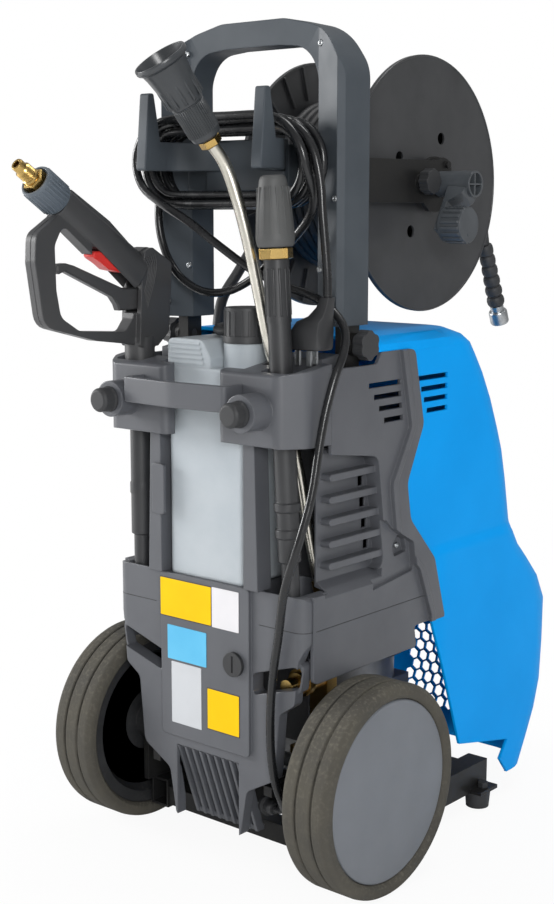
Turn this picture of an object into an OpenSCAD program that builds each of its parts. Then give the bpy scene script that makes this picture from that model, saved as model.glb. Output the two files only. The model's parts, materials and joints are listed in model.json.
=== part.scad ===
// Upright two-wheeled high-pressure washer cart with a hose reel, spray gun,
// two stowed lances and a coiled power cable.
// X runs to the right seen from behind, Y forward, Z up. Sizes in millimetres.

/* [Wheels] */
// Outer diameter of the tyres
wheel_d = 250; // [235:1:255]
// Width of one tyre
wheel_w = 65; // [58:1:68]
// Distance between the middles of the two tyres
track = 372; // [370:1:386]
// Diameter of the round axle
axle_d = 20; // [14:1:24]
// Inner diameter of the tyre where the rim carries it
tyre_bore_d = 214; // [200:1:218]

/* [Body] */
// Width across the side walls
body_w = 300; // [294:1:302]
// Thickness of the moulded walls
wall = 5; // [3:0.5:6]
// Rear face of the lower body, behind the axle
panel_back = 74.5; // [70:0.5:78]
// Height of the ledge that carries the tank and the lances
ledge_z = 353; // [345:1:356]
// Height of the body's lowest edge above the floor
panel_low_z = 50; // [44:1:60]
// Rear face of the two shoulders, behind the axle
shoulder_back = 98; // [94:1:100]
// Underside of the shoulders
shoulder_z = 522; // [515:1:530]
// Top of the shoulders
shoulder_top_z = 602; // [596:1:606]
// Depth of the recess in each side wall
recess_depth = 21; // [14:1:22]
// Number of ribs in each side recess
recess_ribs = 5; // [3:1:7]
// Floor of the pockets that hold the lances
pocket_floor_z = 328; // [310:1:338]

/* [Hood] */
// Thickness of the hood's shell
hood_wall = 4; // [2.5:0.5:5]
// Top of the hood
hood_top_z = 634; // [628:1:640]
// Radius of the hood's upright front corners
hood_corner = 60; // [40:1:75]
// Lowest edge of the hood
hood_low_z = 29; // [24:1:40]
// Width across the flats of the holes in the front grille
grille_hole_w = 13.4; // [9:0.2:14]
// Distance between neighbouring grille holes
grille_pitch = 16; // [15:0.5:20]

/* [Handle] */
// Width over the two uprights
handle_w = 280; // [276:1:284]
// Top of the handle
handle_top_z = 991; // [980:1:1000]
// Lower ends of the uprights
handle_low_z = 650; // [645:1:655]
// Clear width between the uprights
handle_gap = 194; // [188:1:198]
// Thickness of the top grip
grip_t = 29; // [24:1:32]
// Front face of the uprights
handle_front = 48; // [42:1:49]

/* [Hose reel] */
// Reel axis, in front of the axle
reel_y = 239; // [236:1:244]
// Height of the reel axis
reel_z = 809; // [806:1:816]
// Diameter of the two flanges
flange_d = 312; // [290:1:316]
// Distance between the outer faces of the flanges
reel_w = 170; // [164:1:176]
// Diameter of the drum core
core_d = 188; // [150:1:188]
// Outside diameter of the high-pressure hose
hose_d = 12.6; // [11:0.1:12.8]
// Turns of hose in the outer layer
hose_turns = 11; // [6:1:11]
// Thickness of the two reel arms
arm_t = 6; // [4:0.5:8]
// Diameter of the reel's shaft
shaft_d = 24; // [18:1:28]

/* [Tank] */
// Width of the detergent tank
tank_w = 122; // [116:1:124]
// Depth of the detergent tank
tank_depth = 84; // [76:1:86]
// Top of the tank's main body
tank_top_z = 600; // [590:1:606]
// Diameter of the filler neck
neck_d = 40; // [34:1:44]
// Diameter of the filler cap
cap_d = 50; // [48:1:56]

/* [Power unit] */
// Diameter over the motor's fins
motor_d = 172; // [150:1:176]
// Height of the motor
motor_h = 265; // [240:1:270]
// Number of cooling fins on the motor
motor_fins = 28; // [16:1:36]

/* [Spray tools] */
// Diameter of the gun's and the turbo lance's sleeves
sleeve_d = 26; // [22:0.5:27]
// Diameter of the bent lance's tube
lance_d = 14; // [12:0.5:15]
// Largest diameter of the turbo nozzle's cone
cone_d = 43; // [38:0.5:44]
// Diameter of the multi-nozzle's cup
cup_d = 61; // [52:1:62]
// Thickness of the gun's finger guard
guard_t = 17; // [15:0.5:18]

/* [Power cable] */
// Diameter of the power cable
cable_d = 9.8; // [8:0.1:10]
// Loops in the stowed coil
cable_loops = 6.33; // [4.33:1:6.33]

/* [Clearances] */
// Radial clearance of a shaft that turns in its hole
running_gap = 0.06; // [0.02:0.01:0.09]
// Gap between pieces that sit close but do not touch
seat_gap = 0.3; // [0.25:0.05:0.4]

/* [Hidden] */

$fn = 48;

// Forward-most and rear-most points, which centre the part on its origin.
front_y = 480.5;
rear_y = -245;

half_w = body_w / 2;
wheel_r = wheel_d / 2;
axle_z = wheel_r;
wheel_x = track / 2;
wheel_inner_x = wheel_x - wheel_w / 2;
recess_x = half_w - recess_depth;
bay_y = 14;
panel_y = -panel_back;
inner_panel_y = panel_y + wall;

// Lower body outline seen from behind, right half: [x, z, corner radius].
body_outline = [[148, ledge_z, 8], [148, 300, 10], [138, 278, 6], [134, 228, 10], [112, 213, 10],
    [105, 132, 14], [62, 108, 12], [52, panel_low_z, 6]];
// Side cut-out seen from behind: [x, z, corner radius].
cut_outline = [[72, 228, 5], [72, 254, 6], [143, 276, 7], [137, 247, 6]];
// Side wall seen from the side: [y, z, corner radius].
wall_outline = [[-60, 252, 8], [-60, ledge_z, 0], [-30, ledge_z, 0], [-30, 605, 0], [54, 605, 4],
    [62, 618, 4], [123, 618, 10],
    [143, 527, 16], [111, 459.5, 20], [119, 414, 20], [171, 358, 20], [194, 283, 4], [194, 279, 0],
    [135, 279, 4], [140, 252, 4]];
recess_outline = [[-26, 362, 4], [-26, 512, 8], [58, 498, 14], [78, 362, 12]];
// Front edge of the recess at a height.
function recess_front(z) = 58 + (498 - z) * 20 / 136;
// Shallow step in front of the recess, and its screw pocket.
step_outline = [[50, 420, 0], [74, 420, 6], [92, 404, 10], [126, 386, 8], [132, 350, 6], [50, 340, 0]];
screw_pocket = [[94, 386, 3], [104, 397, 3], [118, 390, 3], [124, 374, 3], [98, 371, 3]];

// Centre line of the hood's front, from the bottom up: [z, y].
hood_front = [[hood_low_z, 424], [66, 445], [100, 463], [137, 475], [190, 479], [250, 480], [285, 461],
    [315, 432], [338, 408], [362, 392], [392, 386], [431, 378], [470, 368], [500, 356], [540, 338],
    [575, 318], [600, 300], [616, 288], [626, 276], [hood_top_z, 262]];
hood_rear_y = 50;

tank_y0 = -74;
tank_floor_z = ledge_z + seat_gap;
neck_x = 30;
neck_y = -36;

gun_x = -118;
gun_y = -61;
gun_lance_bottom = pocket_floor_z + seat_gap;
turbo_top = [98, -70, 816];
turbo_foot = [119.5, -61, pocket_floor_z + seat_gap + 0.5];
post_x = handle_w / 2;
gap_x = handle_gap / 2;
arm_x = 99;
crank_x = 128.5;
crank_end_x = 158;
grip_y = 212;
grip_z = 760.5;
knob_x = 134.5;
clamp_y = 32;
clamp_z = 628;
tongue_x = 115;
tongue_t = 16;
tongue_low_z = 522;
dial_x = 48;
dial_z = 261;
cable_pitch = cable_d + 0.6;

// Routes of the cords, chosen by hand.
LEAD = [[-125.2, -10.8, 838.6], [-132, -10, 798], [-134, -10, 768], [-129, -10, 742], [-117, -10, 718],
    [-96, -10, 697], [-60, -12, 683], [-20, -14, 684], [20, -15, 700], [56, -16, 726], [90, -18, 752],
    [116, -26, 775], [128, -37, 796], [129, -48, 818], [124, -54, 846], [104, -54, 870], [72, -54, 881],
    [20, -54, 882], [-40, -54, 882], [-84, -54, 879], [-114, -54, 864], [-127, -54, 836], [-116, -55, 806],
    [-84, -56, 786], [-44, -50, 764], [-8, -40, 738], [32, -30, 712], [72, -18, 694], [106, -12, 684],
    [134, -12, 670], [154, -14, 650], [163, -26, 626], [163, -42, 598], [160, -54, 560], [158, -63, 520], [157, -74, 470],
    [150, -88, 418], [134, -92, 366], [119, -84, 310], [110, -83, 262], [106, -83, 215], [107, -83, 168],
    [111, -80, 132], [109, -66, 104], [96, -50, 88], [78, -41, 80]];
PLUG_LEAD = [[101, -42, 872], [119, -42, 861], [133, -42, 840], [141, -41, 808], [144, -41, 776],
    [147, -40, 742], [149.5, -39, 708], [149.5, -38, 685]];
TAIL = [[73.4, 328, 882], [73.4, 347, 855], [73.4, 364, 823], [73.4, 378, 790], [73.4, 388, 760], [73.4, 395, 732]];
FEED = [[-128, 239, 809], [-146, 238, 806], [-150, 222, 780], [-150, 190, 740], [-146, 150, 700],
    [-136, 108, 668], [-129, 90, 636], [-128, 88, 600]];
SUCTION = [[1, -36, 640], [-14, -34, 640], [-30, -18, 641], [-38, 6, 640], [-40, 26, 628],
    [-40, 34, 606], [-40, 36, 588]];

function unit(v) = v / norm(v);

// Arc of radius r that rounds the corner q between the points p and s.
function corner(p, q, s, r, n = 4) =
    let (u = unit(p - q), v = unit(s - q),
         half = acos(max(-1, min(1, u * v))) / 2,
         c = q + unit(u + v) * (r / sin(half)),
         a = q + u * (r / tan(half)) - c, b = q + v * (r / tan(half)) - c,
         a0 = atan2(a.y, a.x), d = atan2(b.y, b.x) - a0,
         turn = d > 180 ? d - 360 : d < -180 ? d + 360 : d)
    [for (i = [0:n]) c + r * [cos(a0 + turn * i / n), sin(a0 + turn * i / n)]];

// Outline whose corners [x, y, radius] are rounded.
function rounded(p, n = 4) = [for (i = [0:len(p) - 1])
    let (k = len(p), a = p[(i + k - 1) % k], b = p[i], c = p[(i + 1) % k])
    each (b[2] > 0 ? corner([a.x, a.y], [b.x, b.y], [c.x, c.y], b[2], n) : [[b.x, b.y]])];

// Right half outline closed by its mirror image.
function mirrored(p) = concat(p, [for (i = [len(p) - 1:-1:0]) [-p[i].x, p[i].y, p[i][2]]]);

function moved(p, d) = [for (q = p) [q.x + d.x, q.y + d.y]];

// Points of a smooth curve through a route, k steps to each stretch.
function smooth(p, k) = concat([for (i = [0:len(p) - 2], j = [0:k - 1])
    let (t = j / k, a = p[max(i - 1, 0)], b = p[i], c = p[i + 1], d = p[min(i + 2, len(p) - 1)])
    (2 * b + (c - a) * t + (2 * a - 5 * b + 4 * c - d) * pow(t, 2)
        + (3 * b - a - 3 * c + d) * pow(t, 3)) / 2], [p[len(p) - 1]]);

function tangents(p) = [for (i = [0:len(p) - 1]) unit(p[min(i + 1, len(p) - 1)] - p[max(i - 1, 0)])];

function across(t) = unit(cross(t, abs(t.z) < 0.8 ? [0, 0, 1] : [0, 1, 0]));

function sideways(t) = [for (i = 0, u = across(t[0]); i < len(t);
    i = i + 1, u = i < len(t) ? unit(u - (u * t[i]) * t[i]) : u) u];

// Rings of n points and radii r around a path.
function tube_rings(p, r, n) = let (t = tangents(p), u = sideways(t)) [for (i = [0:len(p) - 1])
    let (v = cross(t[i], u[i]), q = is_list(r) ? r[i] : r)
    [for (j = [0:n - 1]) p[i] + q * (cos(360 * j / n) * u[i] + sin(360 * j / n) * v)]];

// Solid through rings that run anticlockwise round their line of travel.
module loft(rings) {
    n = len(rings[0]);
    last = (len(rings) - 1) * n;
    polyhedron([for (r = rings) each r], concat(
        [for (i = [1:n - 2]) [0, i, i + 1]],
        [for (j = [0:len(rings) - 2], i = [0:n - 1], f = [0, 1])
            let (a = j * n + i, b = j * n + (i + 1) % n)
            f == 0 ? [a, a + n, b + n] : [a, b + n, b]],
        [for (i = [1:n - 2]) [last, last + i + 1, last + i]]));
}

module tube(path, d, n = 8) {
    loft(tube_rings(path, d / 2, n));
}

// Extrusions of outlines that are drawn in the planes YZ, XZ and XY.
module along_x(x0, x1) {
    translate([x0, 0, 0]) rotate([90, 0, 90]) linear_extrude(x1 - x0) children();
}

module along_y(y0, y1) {
    translate([0, y1, 0]) rotate([90, 0, 0]) linear_extrude(y1 - y0) children();
}

module along_z(z0, z1) {
    translate([0, 0, z0]) linear_extrude(z1 - z0) children();
}

module rod_x(x0, x1, r, y, z) {
    translate([x0, y, z]) rotate([0, 90, 0]) cylinder(h = x1 - x0, r = r);
}

module rod_y(y0, y1, r, x, z) {
    translate([x, y1, z]) rotate([90, 0, 0]) cylinder(h = y1 - y0, r = r);
}

// Turned body about a line parallel to X: outline points are [radius, x].
module turned_x(y, z) {
    translate([0, y, z]) rotate([0, 90, 0]) rotate_extrude() children();
}

// Turned body that starts at a point and runs along a direction.
module turned(p, d) {
    translate(p) rotate([0, acos(unit(d).z), atan2(d.y, d.x)]) rotate_extrude() children();
}

module both() {
    children();
    mirror([1, 0, 0]) children();
}

module at_side(s) {
    mirror([s < 0 ? 1 : 0, 0, 0]) children();
}

module place() {
    translate([0, -(front_y + rear_y) / 2, 0]) children();
}

// ---- wheels and chassis ----

rim_r = tyre_bore_d / 2;
hub_r = 24;

module tyre(s) {
    w = wheel_w / 2;
    shoulder = 9;
    color("dimgray") at_side(s) translate([wheel_x, 0, 0]) turned_x(0, axle_z) difference() {
        polygon(concat([[rim_r, -w + 5], [rim_r + 4, -w]],
            [for (a = [0:22.5:90]) [wheel_r - shoulder + shoulder * sin(a), -w + shoulder - shoulder * cos(a)]],
            [for (a = [0:22.5:90]) [wheel_r - shoulder + shoulder * cos(a), w - shoulder + shoulder * sin(a)]],
            [[rim_r + 4, w], [rim_r, w - 5]]));
        for (x = [-w / 3, w / 3]) translate([wheel_r - 3, x - 1.5]) square([6, 3]);
    }
}

module rim(s) {
    w = wheel_w / 2;
    color("#2b2c2e") at_side(s) translate([wheel_x, 0, 0]) difference() {
        turned_x(0, axle_z) polygon([[axle_d / 2 + running_gap, -w + 0.2], [hub_r, -w + 0.2], [hub_r, -14],
            [rim_r - 24, -8], [rim_r - 14, -w + 8], [rim_r, -w + 8], [rim_r, w - 12], [rim_r - 5, w - 12],
            [rim_r - 7, -w + 12], [rim_r - 11, -w + 12], [rim_r - 21, -2], [hub_r + 2, -7], [hub_r, 12],
            [axle_d / 2 + running_gap, 12]]);
        for (a = [0:60:300]) translate([0, 0, axle_z]) rotate([a, 0, 0])
            translate([-16, -8, (hub_r + rim_r) / 2 - 14]) cube([20, 16, 12]);
    }
}

module wheel_cover(s) {
    w = wheel_w / 2;
    r = rim_r - 0.4;
    color("#6e7277") at_side(s) translate([wheel_x, 0, 0]) turned_x(0, axle_z)
        polygon([[0, w - 8], [r * 0.45, w - 7.5], [r * 0.8, w - 9], [r - 3, w - 11.6], [r, w - 11.6],
            [r, w - 5], [r - 2, w - 3.6], [r - 5, w - 4], [r * 0.82, w - 3], [r * 0.5, w - 1], [0, w - 0.5]]);
}

clip_x = wheel_x + 12 + seat_gap;

module axle() {
    end_x = clip_x + 5;
    color("silver") {
        rod_x(-end_x, end_x, axle_d / 2, 0, axle_z);
        both() difference() {
            rod_x(clip_x, clip_x + 3, axle_d / 2 + 6, 0, axle_z);
            rod_x(clip_x - 1, clip_x + 4, axle_d / 2, 0, axle_z);
        }
    }
}

rail_x0 = 120;
rail_x1 = 149;
rail_z0 = 22;
rail_z1 = 59;
foot_x = 147.9;
foot_y = 290;

module chassis() {
    color("#222426") {
        both() {
            difference() {
                translate([rail_x0, -20, rail_z0]) cube([rail_x1 - rail_x0, 330, rail_z1 - rail_z0]);
                translate([rail_x0 + 3, -21, rail_z0 + 3]) cube([rail_x1 - rail_x0 - 6, 332, rail_z1 - rail_z0 - 6]);
            }
            difference() {
                union() {
                    translate([rail_x1 - 9, -34, rail_z1]) cube([8, 74, axle_z - rail_z1]);
                    rod_x(rail_x1 - 9, rail_x1 - 1, 22, 0, axle_z);
                }
                rod_x(rail_x0, rail_x1 + 2, axle_d / 2 + running_gap, 0, axle_z);
            }
            // spacer tube between the bracket and the wheel's hub
            difference() {
                rod_x(rail_x1 - 1, wheel_inner_x - 0.1, axle_d / 2 + 4, 0, axle_z);
                rod_x(rail_x0, wheel_inner_x + 1, axle_d / 2 + running_gap, 0, axle_z);
            }
            // foot plate
            translate([rail_x1, foot_y - 20, rail_z0]) cube([foot_x + 18 - rail_x1, 40, 5]);
        }
        // rear cross bar and the lugs that carry the rear panel
        translate([-rail_x1 + 9, -34, 106]) cube([2 * rail_x1 - 18, 12, 16]);
        both() translate([84, inner_panel_y + seat_gap, 108]) cube([12, -34 - inner_panel_y, 12]);
        for (y = [-18, 60, 280]) translate([-rail_x0, y, rail_z0 + 4]) cube([2 * rail_x0, 24, 24]);
        translate([-rail_x0, 104, rail_z1 - 4]) cube([2 * rail_x0, 150, 4]);
    }
}

module front_feet() {
    color("#1c1c1e") both() {
        translate([foot_x, foot_y, 0]) cylinder(h = rail_z0, r1 = 15, r2 = 17);
        translate([foot_x + 8, foot_y, rail_z0 + 5]) cylinder(h = 7, r = 7, $fn = 6);
    }
}

// ---- rear moulding ----

// Pocket outline in plan, right half: [x, y, corner radius].
pocket = [[64, -46, 4], [86, -80, 6], [134, -80, 6], [134, 10, 8], [78, 10, 8], [64, -6, 8]];

module pocket_cup() {
    for (s = [1, -1]) at_side(s) difference() {
        along_z(pocket_floor_z - 4, ledge_z) polygon(rounded([for (q = pocket)
            [q.x + (q.x < 100 ? -3 : 3), max(q.y + (q.y < -30 ? 0 : 3), panel_y), q[2] + 1]]));
        along_z(pocket_floor_z, ledge_z + 1) polygon(rounded(pocket_inner));
    }
}

pocket_inner = [for (q = pocket) [q.x, max(q.y, panel_y + 2.5), q[2]]];

module rear_panel() {
    color("#56585c") difference() {
        union() {
            // shell with rounded rear corners
            intersection() {
                difference() {
                    along_y(panel_y, -60) polygon(rounded(mirrored(body_outline)));
                    along_y(inner_panel_y, -59) polygon(rounded(mirrored([for (q = body_outline)
                        [q.x - wall, q.y > 300 ? q.y - wall : q.y < 60 ? q.y + wall : q.y, max(q[2] - 2, 1)]])));
                }
                along_z(panel_low_z - 1, ledge_z + 1) polygon(rounded([[148, -60, 0], [148, panel_y, 14],
                    [-148, panel_y, 14], [-148, -60, 0]]));
            }
            // raised middle panel
            along_y(panel_y - 4.5, panel_y) polygon(rounded([[-70, ledge_z, 5], [-70, 152, 6], [70, 152, 6], [70, ledge_z, 5]]));
            // ledge with the lances' pockets
            along_z(ledge_z - 6, ledge_z) polygon([[144.7, -60], [144.7, -30], [recess_x - 0.5, -30],
                [recess_x - 0.5, bay_y - seat_gap],
                [-recess_x + 0.5, bay_y - seat_gap], [-recess_x + 0.5, -30], [-144.7, -30], [-144.7, -60]]);
            pocket_cup();
            // flange that trims the lower edge of the cut-outs
            both() along_y(inner_panel_y, inner_panel_y + 14) difference() {
                polygon(rounded([for (q = cut_outline) [q.x + (q.x < 100 ? -3 : 2), q.y + (q.y < 250 ? -4 : 4), q[2]]]));
                polygon(rounded(cut_outline));
            }
        }
        for (s = [1, -1]) at_side(s) {
            along_y(panel_y - 10, inner_panel_y + 20) polygon(rounded(cut_outline));
            along_z(pocket_floor_z, ledge_z + 1) polygon(rounded(pocket_inner));
        }
        // opening behind the grille fins
        along_y(panel_y - 10, -50) polygon(rounded([[-50, 40, 1], [-50, 140, 1], [50, 140, 1], [50, 40, 1]]));
        // seat of the dosing dial
        rod_y(panel_y - 5, inner_panel_y + 1, 8 + running_gap, dial_x, dial_z);
    }
}

module grille_fins() {
    pitch = 12;
    color("#4a4c50") {
        for (i = [-4:4]) along_x(i * pitch - 2, i * pitch + 2)
            polygon([[panel_y, 139], [panel_y + 34, 44], [panel_y + 46, 44], [panel_y + 16, 139]]);
        // tie bars that carry the fins
        translate([-56, inner_panel_y, 136]) cube([112, 8, 8]);
        translate([-50, panel_y + 36, 44]) cube([100, 10, 6]);
    }
}

slot_z = [581, 567, 553, 538.5];

// Region behind the rim.
bead_edge = [[-70, 240, 0], [-70, 640, 0], [96, 640, 0], [96, 618, 6], [117, 526, 16], [80, 462, 20], [90, 396, 20],
    [138, 350, 16], [164, 288, 6], [164, 240, 0]];

module side_wall(s) {
    color("#56585c") at_side(s) difference() {
        union() {
            // outer skin
            along_x(half_w - wall, half_w) polygon(rounded(wall_outline));
            // proud rim along the hood's edge
            along_x(half_w, half_w + 4) difference() {
                polygon(rounded(wall_outline));
                polygon(rounded(bead_edge));
            }
            // turned-in front edge
            along_x(half_w - 16, half_w) difference() {
                polygon(rounded(wall_outline));
                polygon(rounded([[-70, 240, 0], [-70, 640, 0], [117, 640, 0], [117, 617, 10], [137, 527, 16],
                    [105, 460, 20], [113, 411, 20], [165, 356, 20], [188, 284, 4], [188, 240, 0]]));
            }
            // bead on the rim
            along_x(half_w + 3, half_w + 6) intersection() {
                polygon(rounded(wall_outline));
                difference() {
                    polygon(moved(rounded(bead_edge), [9, 0]));
                    polygon(rounded(bead_edge));
                }
            }
            // floor and border of the recess
            along_x(recess_x - 3, half_w) polygon(rounded([for (q = recess_outline)
                [q.x + (q.x < 0 ? -4 : 4), q.y + (q.y < 400 ? -4 : 4), q[2] + 2]]));
            along_y(-30, 80) polygon([[recess_x - 3, 362], [recess_x - 3, 356], [140.8, ledge_z + 0.5], [141, 340], [half_w - 4, 338],
                [half_w, 338], [half_w, 362]]);
            // backs of the step and of the screw pocket
            along_x(half_w - 9, half_w) polygon(rounded([for (q = step_outline)
                [q.x + (q.x < 60 ? 0 : 3), q.y + (q.y < 360 ? -3 : 3), q[2]]]));
            along_x(half_w - 16, half_w) polygon(rounded([[90, 386, 3], [103, 401, 3], [121, 393, 3], [128, 371, 3], [95, 367, 3]]));
        }
        difference() {
            along_x(recess_x, half_w + 8) polygon(rounded([for (q = recess_outline) [q.x < 0 ? -40 : q.x, q.y, q[2]]]));
            for (i = [0:recess_ribs - 1]) {
                z = 482 - i * 102 / max(recess_ribs - 1, 1);
                along_x(recess_x - 1, half_w - 7) polygon(rounded([[-24, z - 4, 3.9], [recess_front(z) + 4, z - 4, 0],
                    [recess_front(z) + 4, z + 4, 0], [-24, z + 4, 3.9]]));
            }
        }
        // sloping foot of the recess
        along_y(-40, 74) polygon([[recess_x, 362.1], [half_w + 8, 343], [half_w + 8, 362.1]]);
        along_x(half_w - 5, half_w + 8) polygon(rounded(step_outline));
        along_x(half_w - 12, half_w + 8) polygon(rounded(screw_pocket));
        // slots between the ribs' front ends
        for (i = [0:recess_ribs - 1]) {
            pitch = 102 / max(recess_ribs - 1, 1);
            z = 482 - (i + 0.5) * pitch;
            if (z > 368) along_x(recess_x - 4, recess_x + 0.1) polygon([[recess_front(z) - 16, z - pitch / 2 + 5.5],
                [recess_front(z) - 6, z - pitch / 2 + 5.5], [recess_front(z) - 6, z + pitch / 2 - 5.5],
                [recess_front(z) - 16, z + pitch / 2 - 5.5]]);
        }
        for (i = [0:3]) translate([half_w - wall - 1, 38 + i * 10, slot_z[i] - 3]) cube([wall + 2, 62 - i * 8, 6]);
    }
}

// Right shoulder in plan.
shoulder_plan = [[40, -shoulder_back, 10], [128, -shoulder_back, 16], [half_w, -70, 20], [half_w, -30.3, 0],
    [recess_x - 4, -30.3, 0], [recess_x - 4, 13.7, 0], [tank_w / 2 + 4, 13.7, 0], [tank_w / 2 + 4, -80, 0], [40, -80, 4]];
well_x = tank_w / 2 + 8.6;
well = [[92, -86, 6], [132, -86, 8], [137, -78, 6], [137, -16, 8], [well_x, -16, 6], [well_x, -57, 5], [92, -57, 0]];
peg_x = 100.7;
peg_z = 562;
boss_r = 21;

module shoulder(s) {
    color("#56585c") at_side(s) difference() {
        union() {
            intersection() {
                along_z(shoulder_z, shoulder_top_z + 20) polygon(rounded(shoulder_plan));
                along_x(30, half_w + 1) polygon(rounded([[-shoulder_back - 1, shoulder_z, 4],
                    [-shoulder_back - 1, shoulder_top_z, 8], [14, shoulder_top_z + 16, 0], [14, shoulder_z, 0]]));
            }
            // column down to the ledge
            along_y(-82, -58) polygon([[tank_w / 2 + 4, ledge_z], [tank_w / 2 + 25, ledge_z],
                [tank_w / 2 + 20, shoulder_z + 1], [tank_w / 2 + 4, shoulder_z + 1]]);
            // boss that carries the peg
            rod_y(-shoulder_back - 30, -shoulder_back + 1, boss_r, peg_x, peg_z);
        }
        along_z(shoulder_z - 1, shoulder_top_z + 30) polygon(rounded(well));
    }
}

module hanger_bar() {
    end_x = peg_x - boss_r - 0.5;
    y = -shoulder_back - seat_gap;
    color("#56585c") difference() {
        along_z(peg_z - 1, peg_z + 28) polygon(rounded([[-end_x, y, 0], [-end_x, y - 30, 6], [0, y - 36, 80],
            [end_x, y - 30, 6], [end_x, y, 0]]));
        along_z(peg_z - 2, peg_z + 30) polygon(rounded([[-end_x + 7, y + 9, 0], [-end_x + 7, y - 22, 6],
            [0, y - 28, 70], [end_x - 7, y - 22, 6], [end_x - 7, y + 9, 0]]));
    }
}

module cable_pegs() {
    y = -shoulder_back - 30;
    color("#1c1c1e") both() translate([peg_x, y, peg_z]) rotate([90, 0, 0]) rotate_extrude()
        polygon([[0, 0], [15, 0], [15, 3], [14, 4], [14, 17], [11, 20], [0, 20]]);
}

module bay_wall() {
    y = bay_y;
    wall_x = recess_x - 4.3;
    color("#3c3e41") difference() {
        union() {
            translate([-wall_x, y, ledge_z - 6]) cube([2 * wall_x, 4, shoulder_top_z - ledge_z - 4]);
            // top deck under the hood's rear edge
            translate([-half_w + 17, y, shoulder_top_z - 12]) cube([body_w - 34, 90, 4]);
            both() translate([90, y + 3, ledge_z + 40]) cube([6, 30, 190]);
        }
        both() translate([tongue_x - 0.5, 19.5, 500]) cube([tongue_t + 1, 26, 120]);
        translate([-60, 30, shoulder_top_z - 20]) cube([40, 14, 20]);
        translate([-138, 76, shoulder_top_z - 20]) cube([22, 24, 20]);
    }
}

module cable_gland() {
    color("#1c1c1e") turned([77.5, -40.8, 79.9], [-0.9, 0.45, -0.05]) difference() {
        polygon([[0, 0], [cable_d / 2 + 2, 0], [cable_d / 2 + 4, 6], [cable_d / 2 + 4, 16], [13, 16], [13, 22], [0, 22]]);
        translate([0, -1]) square([0.01, 1]);
    }
}

// ---- tank ----

module tank() {
    w = tank_w / 2;
    y1 = tank_y0 + tank_depth;
    color("#e9edef") difference() {
        union() {
            intersection() {
                along_z(tank_floor_z, tank_top_z) polygon(rounded([[-w, tank_y0, 10], [w, tank_y0, 10], [w, y1, 10], [-w, y1, 10]]));
                along_y(tank_y0 - 1, y1 + 1) polygon(rounded([[-w, tank_floor_z, 6], [w, tank_floor_z, 6],
                    [w, tank_top_z, 8], [-w, tank_top_z, 8]]));
            }
            // raised block with the grip ridges
            along_y(tank_y0 + 2, y1 - 4) polygon(rounded([[-w + 1, tank_top_z - 10, 0], [6, tank_top_z - 10, 0],
                [6, tank_top_z + 12, 4], [-6, tank_top_z + 32, 8], [-w + 1, tank_top_z + 32, 8]]));
            for (i = [0:4]) translate([-w + 5, tank_y0 + 0.8, tank_top_z + 3.5 + i * 5.6]) cube([w - 8 - i * 1.6, 2, 2.6]);
            translate([neck_x, neck_y, tank_top_z - 1]) cylinder(h = 54, r = neck_d / 2);
            translate([neck_x, neck_y, tank_top_z - 1]) cylinder(h = 30, r = neck_d / 2 + 6);
        }
        translate([neck_x, neck_y, tank_top_z - 40]) cylinder(h = 120, r = neck_d / 2 - 4);
        intersection() {
            along_z(tank_floor_z + 3, tank_top_z - 3) polygon(rounded([[-w + 3, tank_y0 + 3, 8], [w - 3, tank_y0 + 3, 8],
                [w - 3, y1 - 3, 8], [-w + 3, y1 - 3, 8]]));
            along_y(tank_y0, y1) polygon(rounded([[-w + 3, tank_floor_z + 3, 4], [w - 3, tank_floor_z + 3, 4],
                [w - 3, tank_top_z - 3, 6], [-w + 3, tank_top_z - 3, 6]]));
        }
    }
}

module tank_cap() {
    z = tank_top_z + 29 + seat_gap;
    color("#26272a") translate([neck_x, neck_y, z]) difference() {
        union() {
            cylinder(h = 40, r = cap_d / 2);
            cylinder(h = 8, r = cap_d / 2 + 2);
            for (a = [0:20:340]) rotate(a) translate([cap_d / 2 - 0.5, -1.2, 8]) cube([1.6, 2.4, 28]);
        }
        translate([0, 0, -1]) cylinder(h = 26.5, r = neck_d / 2 + seat_gap);
    }
}

module suction_hose() {
    color("#1c1c1e") difference() {
        tube(smooth(SUCTION, 2), 11, 10);
        translate([neck_x, neck_y, tank_top_z]) cylinder(h = 80, r = cap_d / 2 + 2 + seat_gap);
    }
}

// ---- hood ----

// Depth of the hood's front at a height.
function front_at(z) = lookup(z, hood_front);
// How far the hood draws in near its top.
function crown(z) = z > hood_top_z - 22 ? 22 - sqrt(max(0, 22 * 22 - pow(z - hood_top_z + 22, 2))) : 0;

// Plan outline of the hood at a height, drawn in by t.
function hood_ring(z, t, top) = let (w = half_w - t - crown(z + top), f = front_at(z) - t, r = hood_corner - t, y0 = hood_rear_y - 60)
    concat([[w, y0, z]],
        [for (a = [0:11.25:90]) [w - r + r * cos(a), f - r + r * sin(a), z]],
        [for (a = [90:11.25:180]) [-w + r + r * cos(a), f - r + r * sin(a), z]],
        [[-w, y0, z]]);

module hood_form(t) {
    zs = [for (q = hood_front) q[0]];
    loft([for (i = [0:len(zs) - 1])
        let (z = i == 0 ? zs[0] - (t > 0 ? 5 : 0) : zs[i])
        hood_ring_at(z, t)]);
}

function hood_ring_at(z, t) = [for (p = hood_ring(max(z, hood_low_z), t, t)) [p.x, p.y, t > 0 && z > hood_top_z - 60 ? z - t : z]];

vent_z = [581, 567.7, 554.4, 541];

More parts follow.
